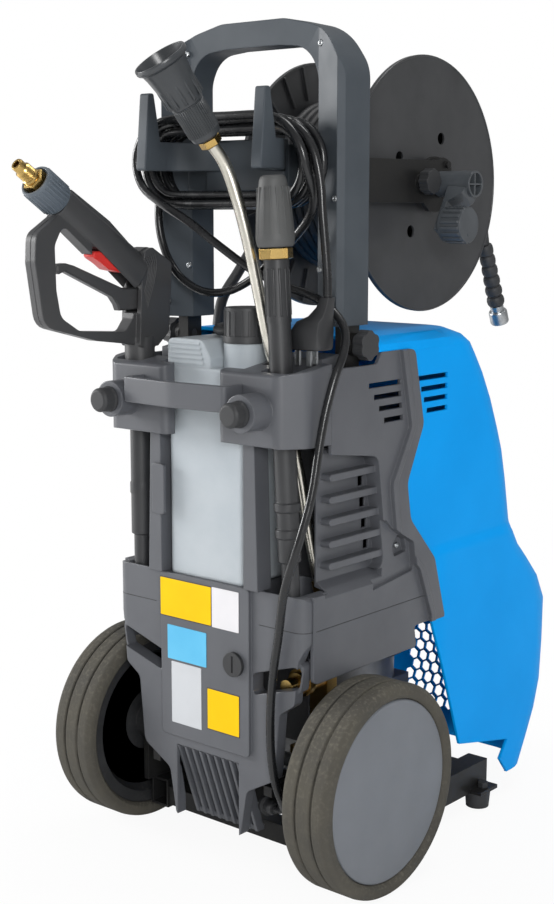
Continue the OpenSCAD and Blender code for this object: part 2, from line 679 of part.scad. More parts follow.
module hood() {
    color("#1f8be0") difference() {
        hood_form(0);
        hood_form(hood_wall);
        // open rear, along the side walls' front edge
        along_x(-half_w - 5, half_w + 5) polygon(concat([[-60, 0], [-60, 700], [hood_rear_y, 700],
            [hood_rear_y, 618 + seat_gap]], [for (p = moved(rounded(rim_edge_open), [seat_gap, 0])) p],
            [[170, 281 - 2], [235, 101], [352, 75], [334, 52], [352, 30], [343, 0]]));
        both() for (i = [0:3]) translate([half_w - hood_wall - 2, 136 + i * 6, vent_z[i] - 3]) cube([hood_wall + 4, 62 - i * 6, 6]);
        // honeycomb of six-sided holes in the front
        for (i = [-5:5], j = [0:7]) translate([(i + (j % 2) / 2) * grille_pitch, 500, 66 + j * grille_pitch * 0.87])
            rotate([90, 0, 0]) rotate(30) cylinder(h = 120, r = grille_hole_w / sqrt(3), $fn = 6);
        rod_y(400, 500, 17, 0, 232);
        // way in for the feed hose
        translate([FEED[6].x, FEED[6].y, 600]) cylinder(h = 60, r = 11);
    }
}

rim_edge_open = [[60, 618, 0], [123, 618, 10], [143, 527, 16], [111, 459.5, 20], [119, 414, 20], [171, 358, 20],
    [194, 283, 4], [194, 279, 0]];

switch_y = front_at(232);

module main_switch() {
    color("#26272a") {
        rod_y(switch_y - 30, switch_y - hood_wall - 2, 22, 0, 232);
        rod_y(switch_y - hood_wall - 2.5, switch_y - 2, 16.6, 0, 232);
        translate([-4, switch_y - 3, 218]) cube([8, 3, 28]);
    }
}

// ---- power unit ----

motor_y = 190;
motor_z = 215;
motor_r = motor_d / 2;

module motor() {
    color("#2a2b2d") {
        translate([0, motor_y, motor_z]) cylinder(h = motor_h, r = motor_r - 12);
        for (a = [0:360 / motor_fins:359]) translate([0, motor_y, motor_z + 10]) rotate(a)
            translate([motor_r - 14, -1.5, 0]) cube([14, 3, motor_h - 20]);
        translate([0, motor_y, motor_z]) cylinder(h = 12, r = motor_r - 4);
        translate([motor_r - 20, motor_y - 40, motor_z + 110]) cube([38, 80, 90]);
    }
}

module fan_cover() {
    z = motor_z + motor_h;
    color("#3c3e41") difference() {
        union() {
            translate([0, motor_y, z - 30]) cylinder(h = 84, r = motor_r + 4);
            translate([0, motor_y, z + 54]) cylinder(h = 12, r1 = motor_r + 4, r2 = motor_r - 12);
        }
        translate([0, motor_y, z - 31]) cylinder(h = 32, r = motor_r + 1);
        translate([0, motor_y, z - 1]) cylinder(h = 50, r = motor_r);
        for (a = [0:30:330]) translate([0, motor_y, z + 40]) rotate(a) translate([30, -4, 0]) cube([34, 8, 40]);
        translate([motor_r - 22, motor_y - 42, z - 32]) cube([60, 84, 30]);
    }
}

module pump() {
    color("#8d9094") {
        translate([-62, motor_y - 60, rail_z1 + 30]) cube([124, 120, 86]);
        translate([0, motor_y, rail_z1 + 115]) cylinder(h = motor_z - rail_z1 - 115, r = 66);
        translate([-48, motor_y - 60, rail_z1]) cube([96, 120, 31]);
        for (x = [-38, 0, 38]) rod_y(motor_y - 122, motor_y - 59, 17, x, 128);
        translate([-56, motor_y - 132, 106]) cube([112, 36, 44]);
    }
}

inlet_x = 100;
inlet_z = 236;

module water_inlet() {
    color("goldenrod") {
        rod_y(-48, -20, 9, inlet_x, inlet_z);
        rod_y(-30, 13.7, 13, inlet_x, inlet_z);
        rod_y(-24, -14, 17, inlet_x, inlet_z);
        translate([inlet_x - 13, 12, 128]) cube([26, 18, 122]);
        translate([56.3, 12, 116]) cube([inlet_x - 44, 50, 24]);
    }
}

module feed_hose() {
    color("#1c1c1e") {
        tube(smooth(FEED, 2), 14, 10);
        rod_x(-132, -107, 11, reel_y, reel_z);
    }
}

// ---- handle and hook ----

module handle() {
    top = handle_top_z;
    w = post_x;
    outer = [[w, handle_low_z, 0], [w, top - 56, 44], [w - 30, top - 14, 70], [48, top, 60]];
    g = gap_x;
    under = top - grip_t;
    inner = [[g, handle_low_z - 1, 0], [g, under - 34, 40], [g - 14, under - 4, 36], [40, under, 40]];
    color("#55585d") intersection() {
        along_y(-5, handle_front) difference() {
            polygon(rounded(mirrored(outer), 8));
            polygon(rounded(mirrored(inner), 8));
        }
        along_z(handle_low_z - 1, top + 1) polygon([[g, 10], [w - 6, -3.5], [w, 4], [w, handle_front],
            [-w, handle_front], [-w, 4], [-w + 6, -3.5], [-g, 10]]);
    }
}

// Steel tongues that run down from the uprights into the body.
module handle_brackets() {
    color("#202123") both() difference() {
        union() {
            translate([tongue_x, 20, tongue_low_z]) cube([tongue_t, 24, handle_low_z - tongue_low_z]);
            // ear that takes the clamp knob
            rod_x(tongue_x + tongue_t, tongue_x + tongue_t + 6, 13, clamp_y, clamp_z);
        }
        rod_x(tongue_x - 1, tongue_x + tongue_t + 10, 5 + running_gap, clamp_y, clamp_z);
    }
}

module clamp_knob(s) {
    x = tongue_x + tongue_t + 6 + seat_gap;
    color("#202123") at_side(s) {
        rod_x(tongue_x + 1, x + 1, 5, clamp_y, clamp_z);
        rod_x(x, x + 6, 11, clamp_y, clamp_z);
        translate([x + 5, clamp_y, clamp_z]) rotate([0, 90, 0]) linear_extrude(14) {
            circle(r = 15);
            for (a = [0:60:300]) rotate(a) translate([10.5, 0]) circle(r = 6.8, $fn = 24);
        }
    }
}

hook_x0 = 80;
hook_x1 = 95;
hook_top_z = 910;

module cable_hook() {
    color("#3f4145") {
        both() {
            // upright prong
            along_x(hook_x0, hook_x1) polygon(rounded([[-86, 823, 3], [-78, hook_top_z, 3], [-70, hook_top_z, 3],
                [-62, 868, 20], [-60, 856, 0], [-60, 823, 0]]));
            // arm that sweeps from the prong to the centre plate
            along_z(823, 856) polygon(rounded([[hook_x0, -72, 0], [hook_x1, -72, 0], [hook_x1, -46, 30],
                [58, 0, 10], [20, 0, 0], [20, -5, 0], [44, -8, 30], [hook_x0, -42, 24]]));
        }
        // centre plate and the cross plate between the uprights
        translate([-60, -5, 800]) cube([120, 8, 58]);
        translate([-gap_x + 0.3, 3, 792]) cube([handle_gap - 0.6, 5, 60]);
        both() translate([gap_x - 12, 3, 792]) cube([11.7, 30, 60]);
    }
}

// ---- hose reel ----

module reel_arms() {
    color("#1b1c1e") {
        both() {
            difference() {
                along_x(arm_x, arm_x + arm_t) polygon(rounded([[handle_front, 787, 0], [reel_y - 34, 787, 0], [reel_y - 20, 776, 6],
                    [reel_y + 23, 776, 12], [reel_y + 27, 838, 14], [reel_y + 8, 842, 6], [reel_y - 10, 838, 0], [handle_front, 838, 0]]));
                rod_x(arm_x - 1, arm_x + arm_t + 1, shaft_d / 2 + running_gap, reel_y, reel_z);
            }
            translate([arm_x + arm_t, handle_front, 787]) cube([28, 5, 51]);
            // bearing plate and its bolt
            difference() {
                rod_x(arm_x - 4, arm_x, 34, reel_y, reel_z);
                rod_x(arm_x - 6, arm_x + 1, shaft_d / 2 + running_gap, reel_y, reel_z);
            }
            rod_x(arm_x + arm_t, arm_x + arm_t + 4, 4.5, reel_y + 15, reel_z + 24);
            for (z = [798, 828]) rod_y(handle_front + 5, handle_front + 8, 5, arm_x + 22, z);
        }
        // brass stud of the lock knob sits in this boss
        rod_x(arm_x + arm_t, arm_x + arm_t + 2.7, 9, lock_y, lock_z);
    }
}

flange_x = reel_w / 2;

module reel_flanges() {
    r = flange_d / 2;
    bore = shaft_d / 2;
    color("#2c2d2f") {
        for (s = [1, -1]) difference() {
            union() {
                turned_x(reel_y, reel_z) polygon(s > 0
                    ? [[bore, flange_x - 3], [r - 3, flange_x - 3], [r - 3, flange_x - 5], [r, flange_x - 5], [r, flange_x], [bore, flange_x]]
                    : [[bore, -flange_x], [r, -flange_x], [r, -flange_x + 5], [r - 3, -flange_x + 5], [r - 3, -flange_x + 3], [bore, -flange_x + 3]]);
                if (s < 0) for (a = [0:15:345]) translate([-flange_x + 2.5, reel_y, reel_z]) rotate([a, 0, 0])
                    translate([0, -1.5, core_d / 2 + 17]) cube([4, 3, r - core_d / 2 - 19.5]);
            }
            for (a = [61:90:331]) rod_x(s > 0 ? flange_x - 6 : -flange_x - 1, s > 0 ? flange_x + 1 : -flange_x + 8, 7.5,
                reel_y + 65 * cos(a), reel_z + 65 * sin(a));
        }
        difference() {
            rod_x(-flange_x + 2.5, flange_x - 2.5, core_d / 2, reel_y, reel_z);
            rod_x(-flange_x - 1, flange_x + 1, core_d / 2 - 4, reel_y, reel_z);
        }
    }
}

module reel_shaft() {
    color("#1b1c1e") {
        rod_x(-arm_x - arm_t - 2, crank_x - 14, shaft_d / 2, reel_y, reel_z);
        both() rod_x(flange_x, arm_x - 4 - seat_gap, shaft_d / 2 + 8, reel_y, reel_z);
    }
}

// Least gap of the winding to itself, printed when the file is evaluated.
winding_r = core_d / 2 + hose_d / 2 + 1.1;
winding_pitch = (reel_w - 12 - hose_d) / hose_turns;
echo(winding_gap = winding_pitch * cos(atan(winding_pitch / (2 * PI * winding_r))) - hose_d);

module hose_winding() {
    steps = 24;
    x0 = -flange_x + 7 + hose_d / 2;
    color("#26272a") loft([for (i = [0:steps * hose_turns]) let (a = 360 * i / steps)
        [for (j = [0:5]) let (q = winding_r + hose_d / 2 * cos(60 * j), x = x0 + winding_pitch * i / steps - hose_d / 2 * sin(60 * j))
            [x, reel_y + q * cos(a), reel_z + q * sin(a)]]]);
}

module reel_crank() {
    d = norm([grip_y - reel_y, grip_z - reel_z]);
    color("#1f2022") {
        difference() {
            rod_x(arm_x + arm_t + 2.4, crank_end_x, 16, reel_y, reel_z);
            rod_x(arm_x, crank_x - 14, shaft_d / 2, reel_y, reel_z);
            difference() {
                rod_x(crank_end_x - 14, crank_end_x + 1, 13.5, reel_y, reel_z);
                translate([crank_end_x - 15, reel_y - 1, reel_z - 20]) cube([14, 2, 40]);
                translate([crank_end_x - 15, reel_y - 20, reel_z - 1]) cube([14, 40, 2]);
            }
        }
        // wedge-shaped arm
        translate([0, reel_y, reel_z]) rotate([atan2(grip_z - reel_z, grip_y - reel_y) + 90, 0, 0]) difference() {
            along_y(-14, 14) polygon([[crank_x, -10], [crank_end_x - 4, -12], [crank_end_x - 6, -20],
                [crank_x + 6, -d + 25], [crank_x + 6, -d - 14], [crank_x, -d - 14]]);
            translate([crank_x - 1, -4, -d - 20]) cube([1, 8, 10]);
        }
        rod_x(crank_x + 5.5, knob_x + 24, 5, grip_y, grip_z);
    }
}

module crank_knob() {
    color("#1f2022") difference() {
        union() {
            rod_x(knob_x + seat_gap, knob_x + 32, 21, grip_y, grip_z);
            for (a = [0:20:340]) translate([knob_x + 5, grip_y, grip_z]) rotate([a, 0, 0])
                translate([0, -2, 20]) cube([25, 4, 2.4]);
        }
        rod_x(knob_x - 1, knob_x + 25, 5 + running_gap, grip_y, grip_z);
    }
}

lock_y = 197;
lock_z = 812;

module reel_lock_knob() {
    x = arm_x + arm_t + 2.7 + seat_gap;
    color("#26272a") {
        rod_x(x, x + 6, 6, lock_y, lock_z);
        translate([x + 5, lock_y, lock_z]) rotate([0, 90, 0]) linear_extrude(13) {
            circle(r = 14);
            for (a = [0:45:315]) rotate(a) translate([12.4, 0]) circle(r = 3, $fn = 16);
        }
    }
}

// ---- hose end ----

guard_from = TAIL[len(TAIL) - 1];
guard_to = [73.4, 428, 650];

module hose_tail() {
    color("#26272a") tube(smooth(TAIL, 2), hose_d, 8);
}

module hose_bend_guard() {
    d = guard_to - guard_from;
    beads = 6;
    step = norm(d) / beads;
    color("#26272a") turned(guard_from, d) polygon(concat([[0, 0]], [for (i = [0:beads - 1], a = [0:30:150])
        [8 + (i + 6) * 0.36 * sin(a), step * (i + (1 - cos(a)) / 2)]], [[8, step * beads], [0, step * beads]]));
}

module hose_nut() {
    d = unit(guard_to - guard_from);
    color("silver") {
        turned(guard_to + d * seat_gap, d) polygon([[0, 0], [9, 0], [9, 8], [0, 8]]);
        turned(guard_to + d * 8, d) polygon([[0, 0], [11.5, 0], [12.5, 2], [12.5, 16], [11.5, 18], [8, 18], [8, 8], [0, 8]]);
    }
}

// ---- gun ----

guard_outer = [[-174, 802, 3], [-195, 771, 3], [-226, 752, 16], [-228, 722, 20], [-217, 650, 20], [-136, 629, 30],
    [-84, 622, 14], [-46, 614, 4], [-24, 633, 10], [-19, 715, 10], [-55, 736, 8], [-71, 729, 6], [-115, 766, 20]];
guard_inner = [[-186, 762, 8], [-199, 740, 16], [-198, 690, 30], [-192, 659, 16], [-164, 642, 20], [-92, 637, 8],
    [-80, 652, 8], [-70, 690, 10], [-84, 701, 4], [-141, 727, 8]];
collar_dir = [0, -0.826, 0.563];
collar_at = [gun_x, -185, 788];
gun_face = collar_at - collar_dir;
trigger_pin = [-64, 676];
latch_pin = [-85, 707];

// Ring of a rounded grip section: centre p, its normal n, half width a across X, half height b.
function grip_ring(p, n, a, b) = let (v = [0, n.z, -n.y])
    [for (i = [0:15]) let (t = 22.5 * i + 11.25)
        p + a * [1, 0, 0] * sign(cos(t)) * pow(abs(cos(t)), 0.7) + b * v * sign(sin(t)) * pow(abs(sin(t)), 0.7)];

module gun_body() {
    n = -collar_dir;
    color("#202123") difference() {
        union() {
            along_x(gun_x - guard_t / 2, gun_x + guard_t / 2) difference() {
                polygon(rounded(guard_outer));
                polygon(rounded(guard_inner));
            }
            loft([grip_ring(gun_face, n, 16, 17), grip_ring([gun_x, -160, 771], n, 15, 17),
                grip_ring([gun_x, -125, 747], n, 16, 18), grip_ring([gun_x, -88, 720], n, 17, 20),
                grip_ring([gun_x, -66, 704], n, 17, 22)]);
            // ribbed head
            along_x(gun_x - 16, gun_x + 16) polygon(rounded([[-72, 690, 6], [-66, 730, 6], [-54, 735, 5], [-21, 716, 8],
                [-27, 634, 8], [-46, 618, 4], [-76, 618, 4]]));
            translate([gun_x, gun_y, 600]) cylinder(h = 30, r = 18);
        }
        // slot in which the trigger swings and the latch lies
        along_x(gun_x - 9.6, gun_x + 9.6) polygon([[-143, 705], [-143, 738], [-76, 714], [-54, 692], [-54, 660], [-108, 656]]);
        rod_x(gun_x - 13, gun_x + 13, 2.5 + running_gap, trigger_pin.x, trigger_pin.y);
        rod_x(gun_x - 11.5, gun_x + 11.5, 1.5 + running_gap, latch_pin.x, latch_pin.y);
    }
}

module gun_trigger() {
    color("#2c2d30") {
        along_x(gun_x - 6, gun_x + 6) polygon(rounded([[-57, 667, 4], [-57, 685, 4], [-90, 690, 6], [-134, 700, 30],
            [-192, 716, 3], [-190, 708, 3], [-140, 686, 30], [-100, 666, 8]]));
        rod_x(gun_x - 12.5, gun_x + 12.5, 2.5, trigger_pin.x, trigger_pin.y);
    }
}

module gun_latch() {
    color("#d8262b") {
        along_x(gun_x - 9, gun_x + 9) polygon(rounded([[-136, 722, 2], [-133, 731, 2], [-81, 711, 2], [-84, 702, 2]]));
        rod_x(gun_x - 11, gun_x + 11, 1.5, latch_pin.x, latch_pin.y);
    }
}

module gun_collar() {
    color("#70747a") turned(collar_at + collar_dir * seat_gap, collar_dir) difference() {
        polygon([[7 + running_gap, 0], [18, 0], [19.5, 2], [20, 32], [17, 36], [14, 40], [7 + running_gap, 40]]);
    }
}

module gun_nipple() {
    color("goldenrod") turned(gun_face, collar_dir)
        polygon([[0, 0], [7, 0], [7, 43], [12, 43], [12, 50], [8, 50], [7, 54], [7, 67], [8.5, 69], [8.5, 71], [4, 72], [0, 72]]);
}

module gun_lance() {
    r = sleeve_d / 2;
    color("#1c1d1f") translate([gun_x, gun_y, gun_lance_bottom]) rotate_extrude() polygon([[0, 0], [r - 3, 0], [r - 3, 60], [r, 62],
        [r, 110], [r + 1, 112], [r + 1, 124], [r, 126], [r, 600 - gun_lance_bottom], [0, 600 - gun_lance_bottom]]);
}

// ---- lances ----

module turbo_nozzle() {
    d = turbo_foot - turbo_top;
    color("#4a4c50") {
        turned(turbo_top, d) polygon([[0, 0], [10.5, 0], [13.5, 1.5], [15, 5], [cone_d / 2 - 4.2, 20], [cone_d / 2 - 2.4, 36],
            [cone_d / 2 - 0.9, 54], [cone_d / 2, 68], [cone_d / 2 - 1.2, 75], [cone_d / 2 - 3, 77], [0, 77]]);
        translate(turbo_top) rotate([0, acos(unit(d).z), atan2(d.y, d.x)]) for (a = [0:24:336])
            rotate(a) translate([0, 0, 14]) rotate([0, 4.2, 0]) translate([15.4, -0.9, 0]) cube([2.4, 1.8, 50]);
    }
}

module turbo_lance() {
    d = turbo_foot - turbo_top;
    h = norm(d);
    r = sleeve_d / 2;
    color("#2b2c2e") turned(turbo_top, d) polygon([[0, 77], [15, 77], [16, 79], [16, 88], [14, 91], [r + 1, 91], [r + 1, 158],
        [r, 160], [r, h - 130], [r + 2, h - 128], [r + 2, h - 120], [r, h - 118], [r, h - 100], [r + 2, h - 98], [r + 2, h - 90],
        [r, h - 88], [r, h - 62], [r - 3, h - 60], [r - 3, h], [0, h]]);
}

BENT = [[112, -4, 356], [104, -14, 420], [97, -21, 480], [90, -30, 530], [84, -38, 578], [76, -49, 628], [69, -60, 690],
    [62, -71, 750], [53, -81, 800], [46, -89, 828], [40, -102, 848]];
nozzle_dir = unit([-0.17, -0.556, 0.81]);
nozzle_at = [40, -102, 848];

module bent_lance() {
    color("#b9b7ae") tube(smooth([for (p = BENT) p], 2), lance_d, 12);
    color("goldenrod") {
        turned(nozzle_at, nozzle_dir) polygon([[0, 0], [11, 0], [11, 9], [8, 10], [8, 30], [0, 30]]);
        turned(BENT[0], [0.14, 0.17, -0.97]) polygon([[0, 0], [9, 0], [9, 14], [7, 16], [7, 26.8], [0, 26.8]]);
    }
}

module multi_nozzle() {
    r = cup_d / 2;
    color("#3f4145") turned(nozzle_at + nozzle_dir * (10 + seat_gap), nozzle_dir) difference() {
        polygon([[8 + running_gap, 0], [16, 0], [17, 4], [19, 12], [19, 34], [16, 40], [18, 50], [r - 4, 84], [r, 96], [r, 100],
            [r - 4, 100], [r - 10, 80], [12, 56], [0, 52], [0, 22], [8 + running_gap, 22]]);
        for (i = [0:3]) translate([18, 13 + i * 5.6]) square([2, 2.4]);
    }
}

module dosing_dial() {
    y = panel_y - 4.5 - seat_gap;
    color("#26272a") difference() {
        union() {
            rod_y(y - 4, y, 14.5, dial_x, dial_z);
            rod_y(y, inner_panel_y + 4, 8, dial_x, dial_z);
        }
        translate([dial_x - 10, y - 5, dial_z - 1.5]) cube([20, 2.6, 3]);
    }
}

// ---- power cable ----

coil_r = 50;
coil_half = 76;
coil_at = [0, -42, 829];
coil_start = 60;
layer_turns = cable_loops / 4;

// Turn of the coil's layers: ring centre at t loops from the start.
function coil_radius(t) = let (k = min(3, floor(t / layer_turns)), f = t - k * layer_turns)
    k % 2 == 0 ? coil_r - cable_pitch * f : coil_r - cable_pitch * (layer_turns - f);

function climb(t, k) = let (u = (t - k * layer_turns) * 2 + 0.5) u <= 0 ? 0 : u >= 1 ? 1 : (1 - cos(180 * u)) / 2;

// A loop is two half circles joined by straights; s runs from 0 to 24 along one loop.
function coil_point(t) =
    let (s = 24 * (t - floor(t)), q = s < 10 ? -90 + 18 * s : s < 12 ? 90 : s < 22 ? 90 + 18 * (s - 12) : 270,
         x = s < 10 ? 1 : s < 12 ? 11 - s : s < 22 ? -1 : s - 23)
    [q, x];

function coil_centre(i) =
    let (t = i / 24, at = coil_point((i + coil_offset) / 24), r = coil_radius(t))
    coil_at + [coil_half * at[1] + r * cos(at[0]), cable_pitch * (climb(t, 1) + climb(t, 2) + climb(t, 3)), r * sin(at[0])];

coil_offset = (coil_start + 90) / 18;
coil_steps = round(cable_loops * 24);
coil_path = [for (i = [0:coil_steps]) coil_centre(i)];
echo(coil_gap = min([for (i = [0:coil_steps - 20], j = [i + 16:coil_steps])
    norm(coil_path[i] - coil_path[j])]) - cable_d);

module cable_coil() {
    color("#161618") tube(coil_path, cable_d, 6);
}

module cable_lead() {
    color("#161618") tube(smooth(LEAD, 1), cable_d, 8);
}

module plug_lead() {
    color("#161618") tube(smooth(PLUG_LEAD, 2), cable_d, 8);
}

module plug() {
    // grip tapers from the cable entry to the face that carries the pins
    ring = function (z, w, d, x) [for (i = [0:11]) let (t = 30 * i + 15)
        [128 + x + w / 2 * sign(cos(t)) * pow(abs(cos(t)), 0.6), -38 + d / 2 * sign(sin(t)) * pow(abs(sin(t)), 0.6), z]];
    color("#1c1d1f") loft([ring(627, 43, 33, -1), ring(629, 46, 36, -1), ring(648, 46, 36, 0), ring(658, 38, 32, 4), ring(664, 26, 22, 12),
        ring(674, 17, 17, 18), ring(685, 14, 14, 21.5)]);
    color("silver") for (p = [[116, -48], [132, -48], [124, -28]]) translate([p.x - 3, p.y - 1, 609.5]) cube([6.3, 2.4, 18]);
}

place() tyre(-1);  // tyre_left
place() tyre(1);  // tyre_right
place() rim(-1);  // rim_left
place() rim(1);  // rim_right
place() wheel_cover(-1);  // wheel_cover_left
place() wheel_cover(1);  // wheel_cover_right
place() axle();
place() chassis();
place() front_feet();
place() rear_panel();
place() side_wall(-1);  // side_wall_left
place() side_wall(1);  // side_wall_right
place() shoulder(-1);  // shoulder_left
place() shoulder(1);  // shoulder_right
place() hanger_bar();
place() cable_pegs();
place() bay_wall();
place() grille_fins();
place() tank();
place() tank_cap();
place() suction_hose();
place() hood();
place() main_switch();
place() motor();
place() fan_cover();
place() pump();
place() water_inlet();
place() feed_hose();
place() handle();
place() handle_brackets();
place() clamp_knob(-1);  // clamp_knob_left
place() clamp_knob(1);  // clamp_knob_right
place() cable_hook();
place() reel_arms();
place() reel_flanges();
place() reel_shaft();
place() hose_winding();
place() reel_crank();
place() crank_knob();
place() reel_lock_knob();
place() hose_tail();
place() hose_bend_guard();
place() hose_nut();
place() gun_body();
place() gun_trigger();
place() gun_latch();
place() gun_collar();
place() gun_nipple();
place() gun_lance();
place() turbo_nozzle();
place() turbo_lance();
place() bent_lance();
place() multi_nozzle();
place() dosing_dial();
place() cable_coil();
place() cable_lead();
place() plug_lead();
place() plug();
place() cable_gland();
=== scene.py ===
"""Looks of an upright high-pressure washer on a two-wheeled cart.

The classes make its cords, finishes and fittings, the floor, the lamps and the camera. Their lengths are
millimetres, measured from the middle of the axle over the floor, as in the part's source.
"""

import json
import logging
import math
from dataclasses import dataclass
from enum import Enum
from typing import Iterable, Optional, Sequence

import bmesh
import bpy
from mathutils import Matrix, Vector
from mathutils.bvhtree import BVHTree

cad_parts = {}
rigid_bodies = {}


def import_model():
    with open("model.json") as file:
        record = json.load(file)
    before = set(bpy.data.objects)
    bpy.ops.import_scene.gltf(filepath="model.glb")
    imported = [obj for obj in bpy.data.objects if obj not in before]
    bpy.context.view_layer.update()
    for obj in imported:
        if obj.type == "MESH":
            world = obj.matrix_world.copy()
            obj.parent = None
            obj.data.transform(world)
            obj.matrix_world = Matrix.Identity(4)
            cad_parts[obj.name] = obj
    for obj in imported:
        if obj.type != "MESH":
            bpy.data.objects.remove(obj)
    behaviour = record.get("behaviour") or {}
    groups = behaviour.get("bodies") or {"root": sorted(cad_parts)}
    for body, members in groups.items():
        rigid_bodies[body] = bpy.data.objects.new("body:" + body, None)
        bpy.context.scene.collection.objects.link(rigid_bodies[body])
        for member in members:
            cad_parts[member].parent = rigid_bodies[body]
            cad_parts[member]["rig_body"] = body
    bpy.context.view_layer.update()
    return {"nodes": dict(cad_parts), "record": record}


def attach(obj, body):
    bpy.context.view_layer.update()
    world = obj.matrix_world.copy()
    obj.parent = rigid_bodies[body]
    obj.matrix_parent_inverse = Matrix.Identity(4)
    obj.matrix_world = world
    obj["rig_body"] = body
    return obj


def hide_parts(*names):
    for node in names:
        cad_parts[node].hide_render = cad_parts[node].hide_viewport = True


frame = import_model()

log = logging.getLogger("washer")

MM_PER_METRE = 1000
AXLE_SHIFT_MM = -117.75  # the axle's place along Y in the row frame
CART = "cart"  # the body that carries all others
Point = Sequence[float]
Spot = tuple[Vector, Vector, Vector]  # a point, its outward direction and its direction along


class Side(Enum):
    """The cart's left and right, seen from behind, with their sign along X."""

    LEFT = -1
    RIGHT = 1

    @property
    def word(self) -> str:
        """The side as the names of nodes and pieces have it."""
        return self.name.lower()


# ---------------------------------------------------------------- measures

def mm(value: float) -> float:
    """Turn millimetres into metres."""
    return value / MM_PER_METRE


def at(x: float, y: float, z: float) -> Vector:
    """Turn a point in millimetres from the axle into metres in the row frame."""
    return Vector((x, y + AXLE_SHIFT_MM, z)) / MM_PER_METRE


def on_circle(x: float, centre: Point, radius: float, turns: float) -> Vector:
    """Find a point of a circle that stands across X.

    Args:
        x: The circle's place along X.
        centre: Its middle [y, z].
        radius: Its radius.
        turns: Way round it from the front, in whole turns.

    Returns:
        The point in the row frame.
    """
    angle = math.tau * turns
    return at(x, centre[0] + radius * math.cos(angle), centre[1] + radius * math.sin(angle))


def smooth_route(route: Sequence[Point], steps: int) -> list[Vector]:
    """Round a route into a Catmull-Rom curve.

    Args:
        route: Points in millimetres from the axle.
        steps: Points made for each stretch.

    Returns:
        Points in the row frame, in metres.
    """
    pts = [at(*p) for p in route]
    out: list[Vector] = []
    for i in range(len(pts) - 1):
        a, b = pts[max(i - 1, 0)], pts[i]
        c, d = pts[i + 1], pts[min(i + 2, len(pts) - 1)]
        for j in range(steps):
            t = j / steps
            out.append((2 * b + (c - a) * t + (2 * a - 5 * b + 4 * c - d) * t**2
                        + (3 * b - a - 3 * c + d) * t**3) / 2)
    return out + [pts[-1]]


# ---------------------------------------------------------------- materials

# What each noise of a finish keeps of its values, and how much finer detail it has.
NOISE_BAND = {"From Min": 0.3, "From Max": 0.7}
SHADE_BAND = {"From Min": 0.35, "From Max": 0.68}
PATCH_NOISE = {"Detail": 4.0, "Roughness": 0.55}
GRAIN_NOISE = {"Detail": 3.0, "Roughness": 0.6}
GRIT_NOISE = {"Detail": 4.0}
RING_NOISE = {"Detail": 2.0}
# Dust: specks of 4 mm that settle most on faces that look up.
DUST_NOISE = {"Scale": MM_PER_METRE / 4.0, "Detail": 5.0}
DUST_BAND = {"From Min": 0.5, "From Max": 0.75}
DUST_ON_SLOPE = {"From Min": -0.2, "From Max": 1.0, "To Min": 0.15, "To Max": 1.0}
CORNER_SAMPLES = 6


def linear(hex_colour: str) -> tuple[float, float, float, float]:
    """Turn an sRGB hex colour into linear RGBA, by the sRGB curve."""
    value = hex_colour.lstrip("#")
    channels = [int(value[i:i + 2], 16) / 255 for i in (0, 2, 4)]
    return tuple(c / 12.92 if c <= 0.04045 else ((c + 0.055) / 1.055) ** 2.4 for c in channels) + (1.0,)


def fineness(size_mm: float) -> float:
    """Scale at which a noise has features of a real size."""
    return MM_PER_METRE / size_mm


def empty_tree(owner: bpy.types.ID) -> bpy.types.NodeTree:
    """Give a material or world an empty node tree."""
    owner.use_nodes = True
    owner.node_tree.nodes.clear()
    return owner.node_tree


def add(tree: bpy.types.NodeTree, kind: str, values: Optional[dict] = None,
        links: Optional[dict] = None, **settings) -> bpy.types.Node:
    """Add a node with its settings, socket values and links.

    Args:
        tree: Node tree that takes the node.
        kind: Node type name.
        values: Socket name or index to its constant.
        links: Socket name or index to the output that feeds it.
        **settings: Properties of the node.

    Returns:
        The new node.
    """
    node = tree.nodes.new(kind)
    for key, value in settings.items():
        setattr(node, key, value)
    for key, value in (values or {}).items():
        node.inputs[key].default_value = value
    for key, source in (links or {}).items():
        tree.links.new(source, node.inputs[key])
    return node


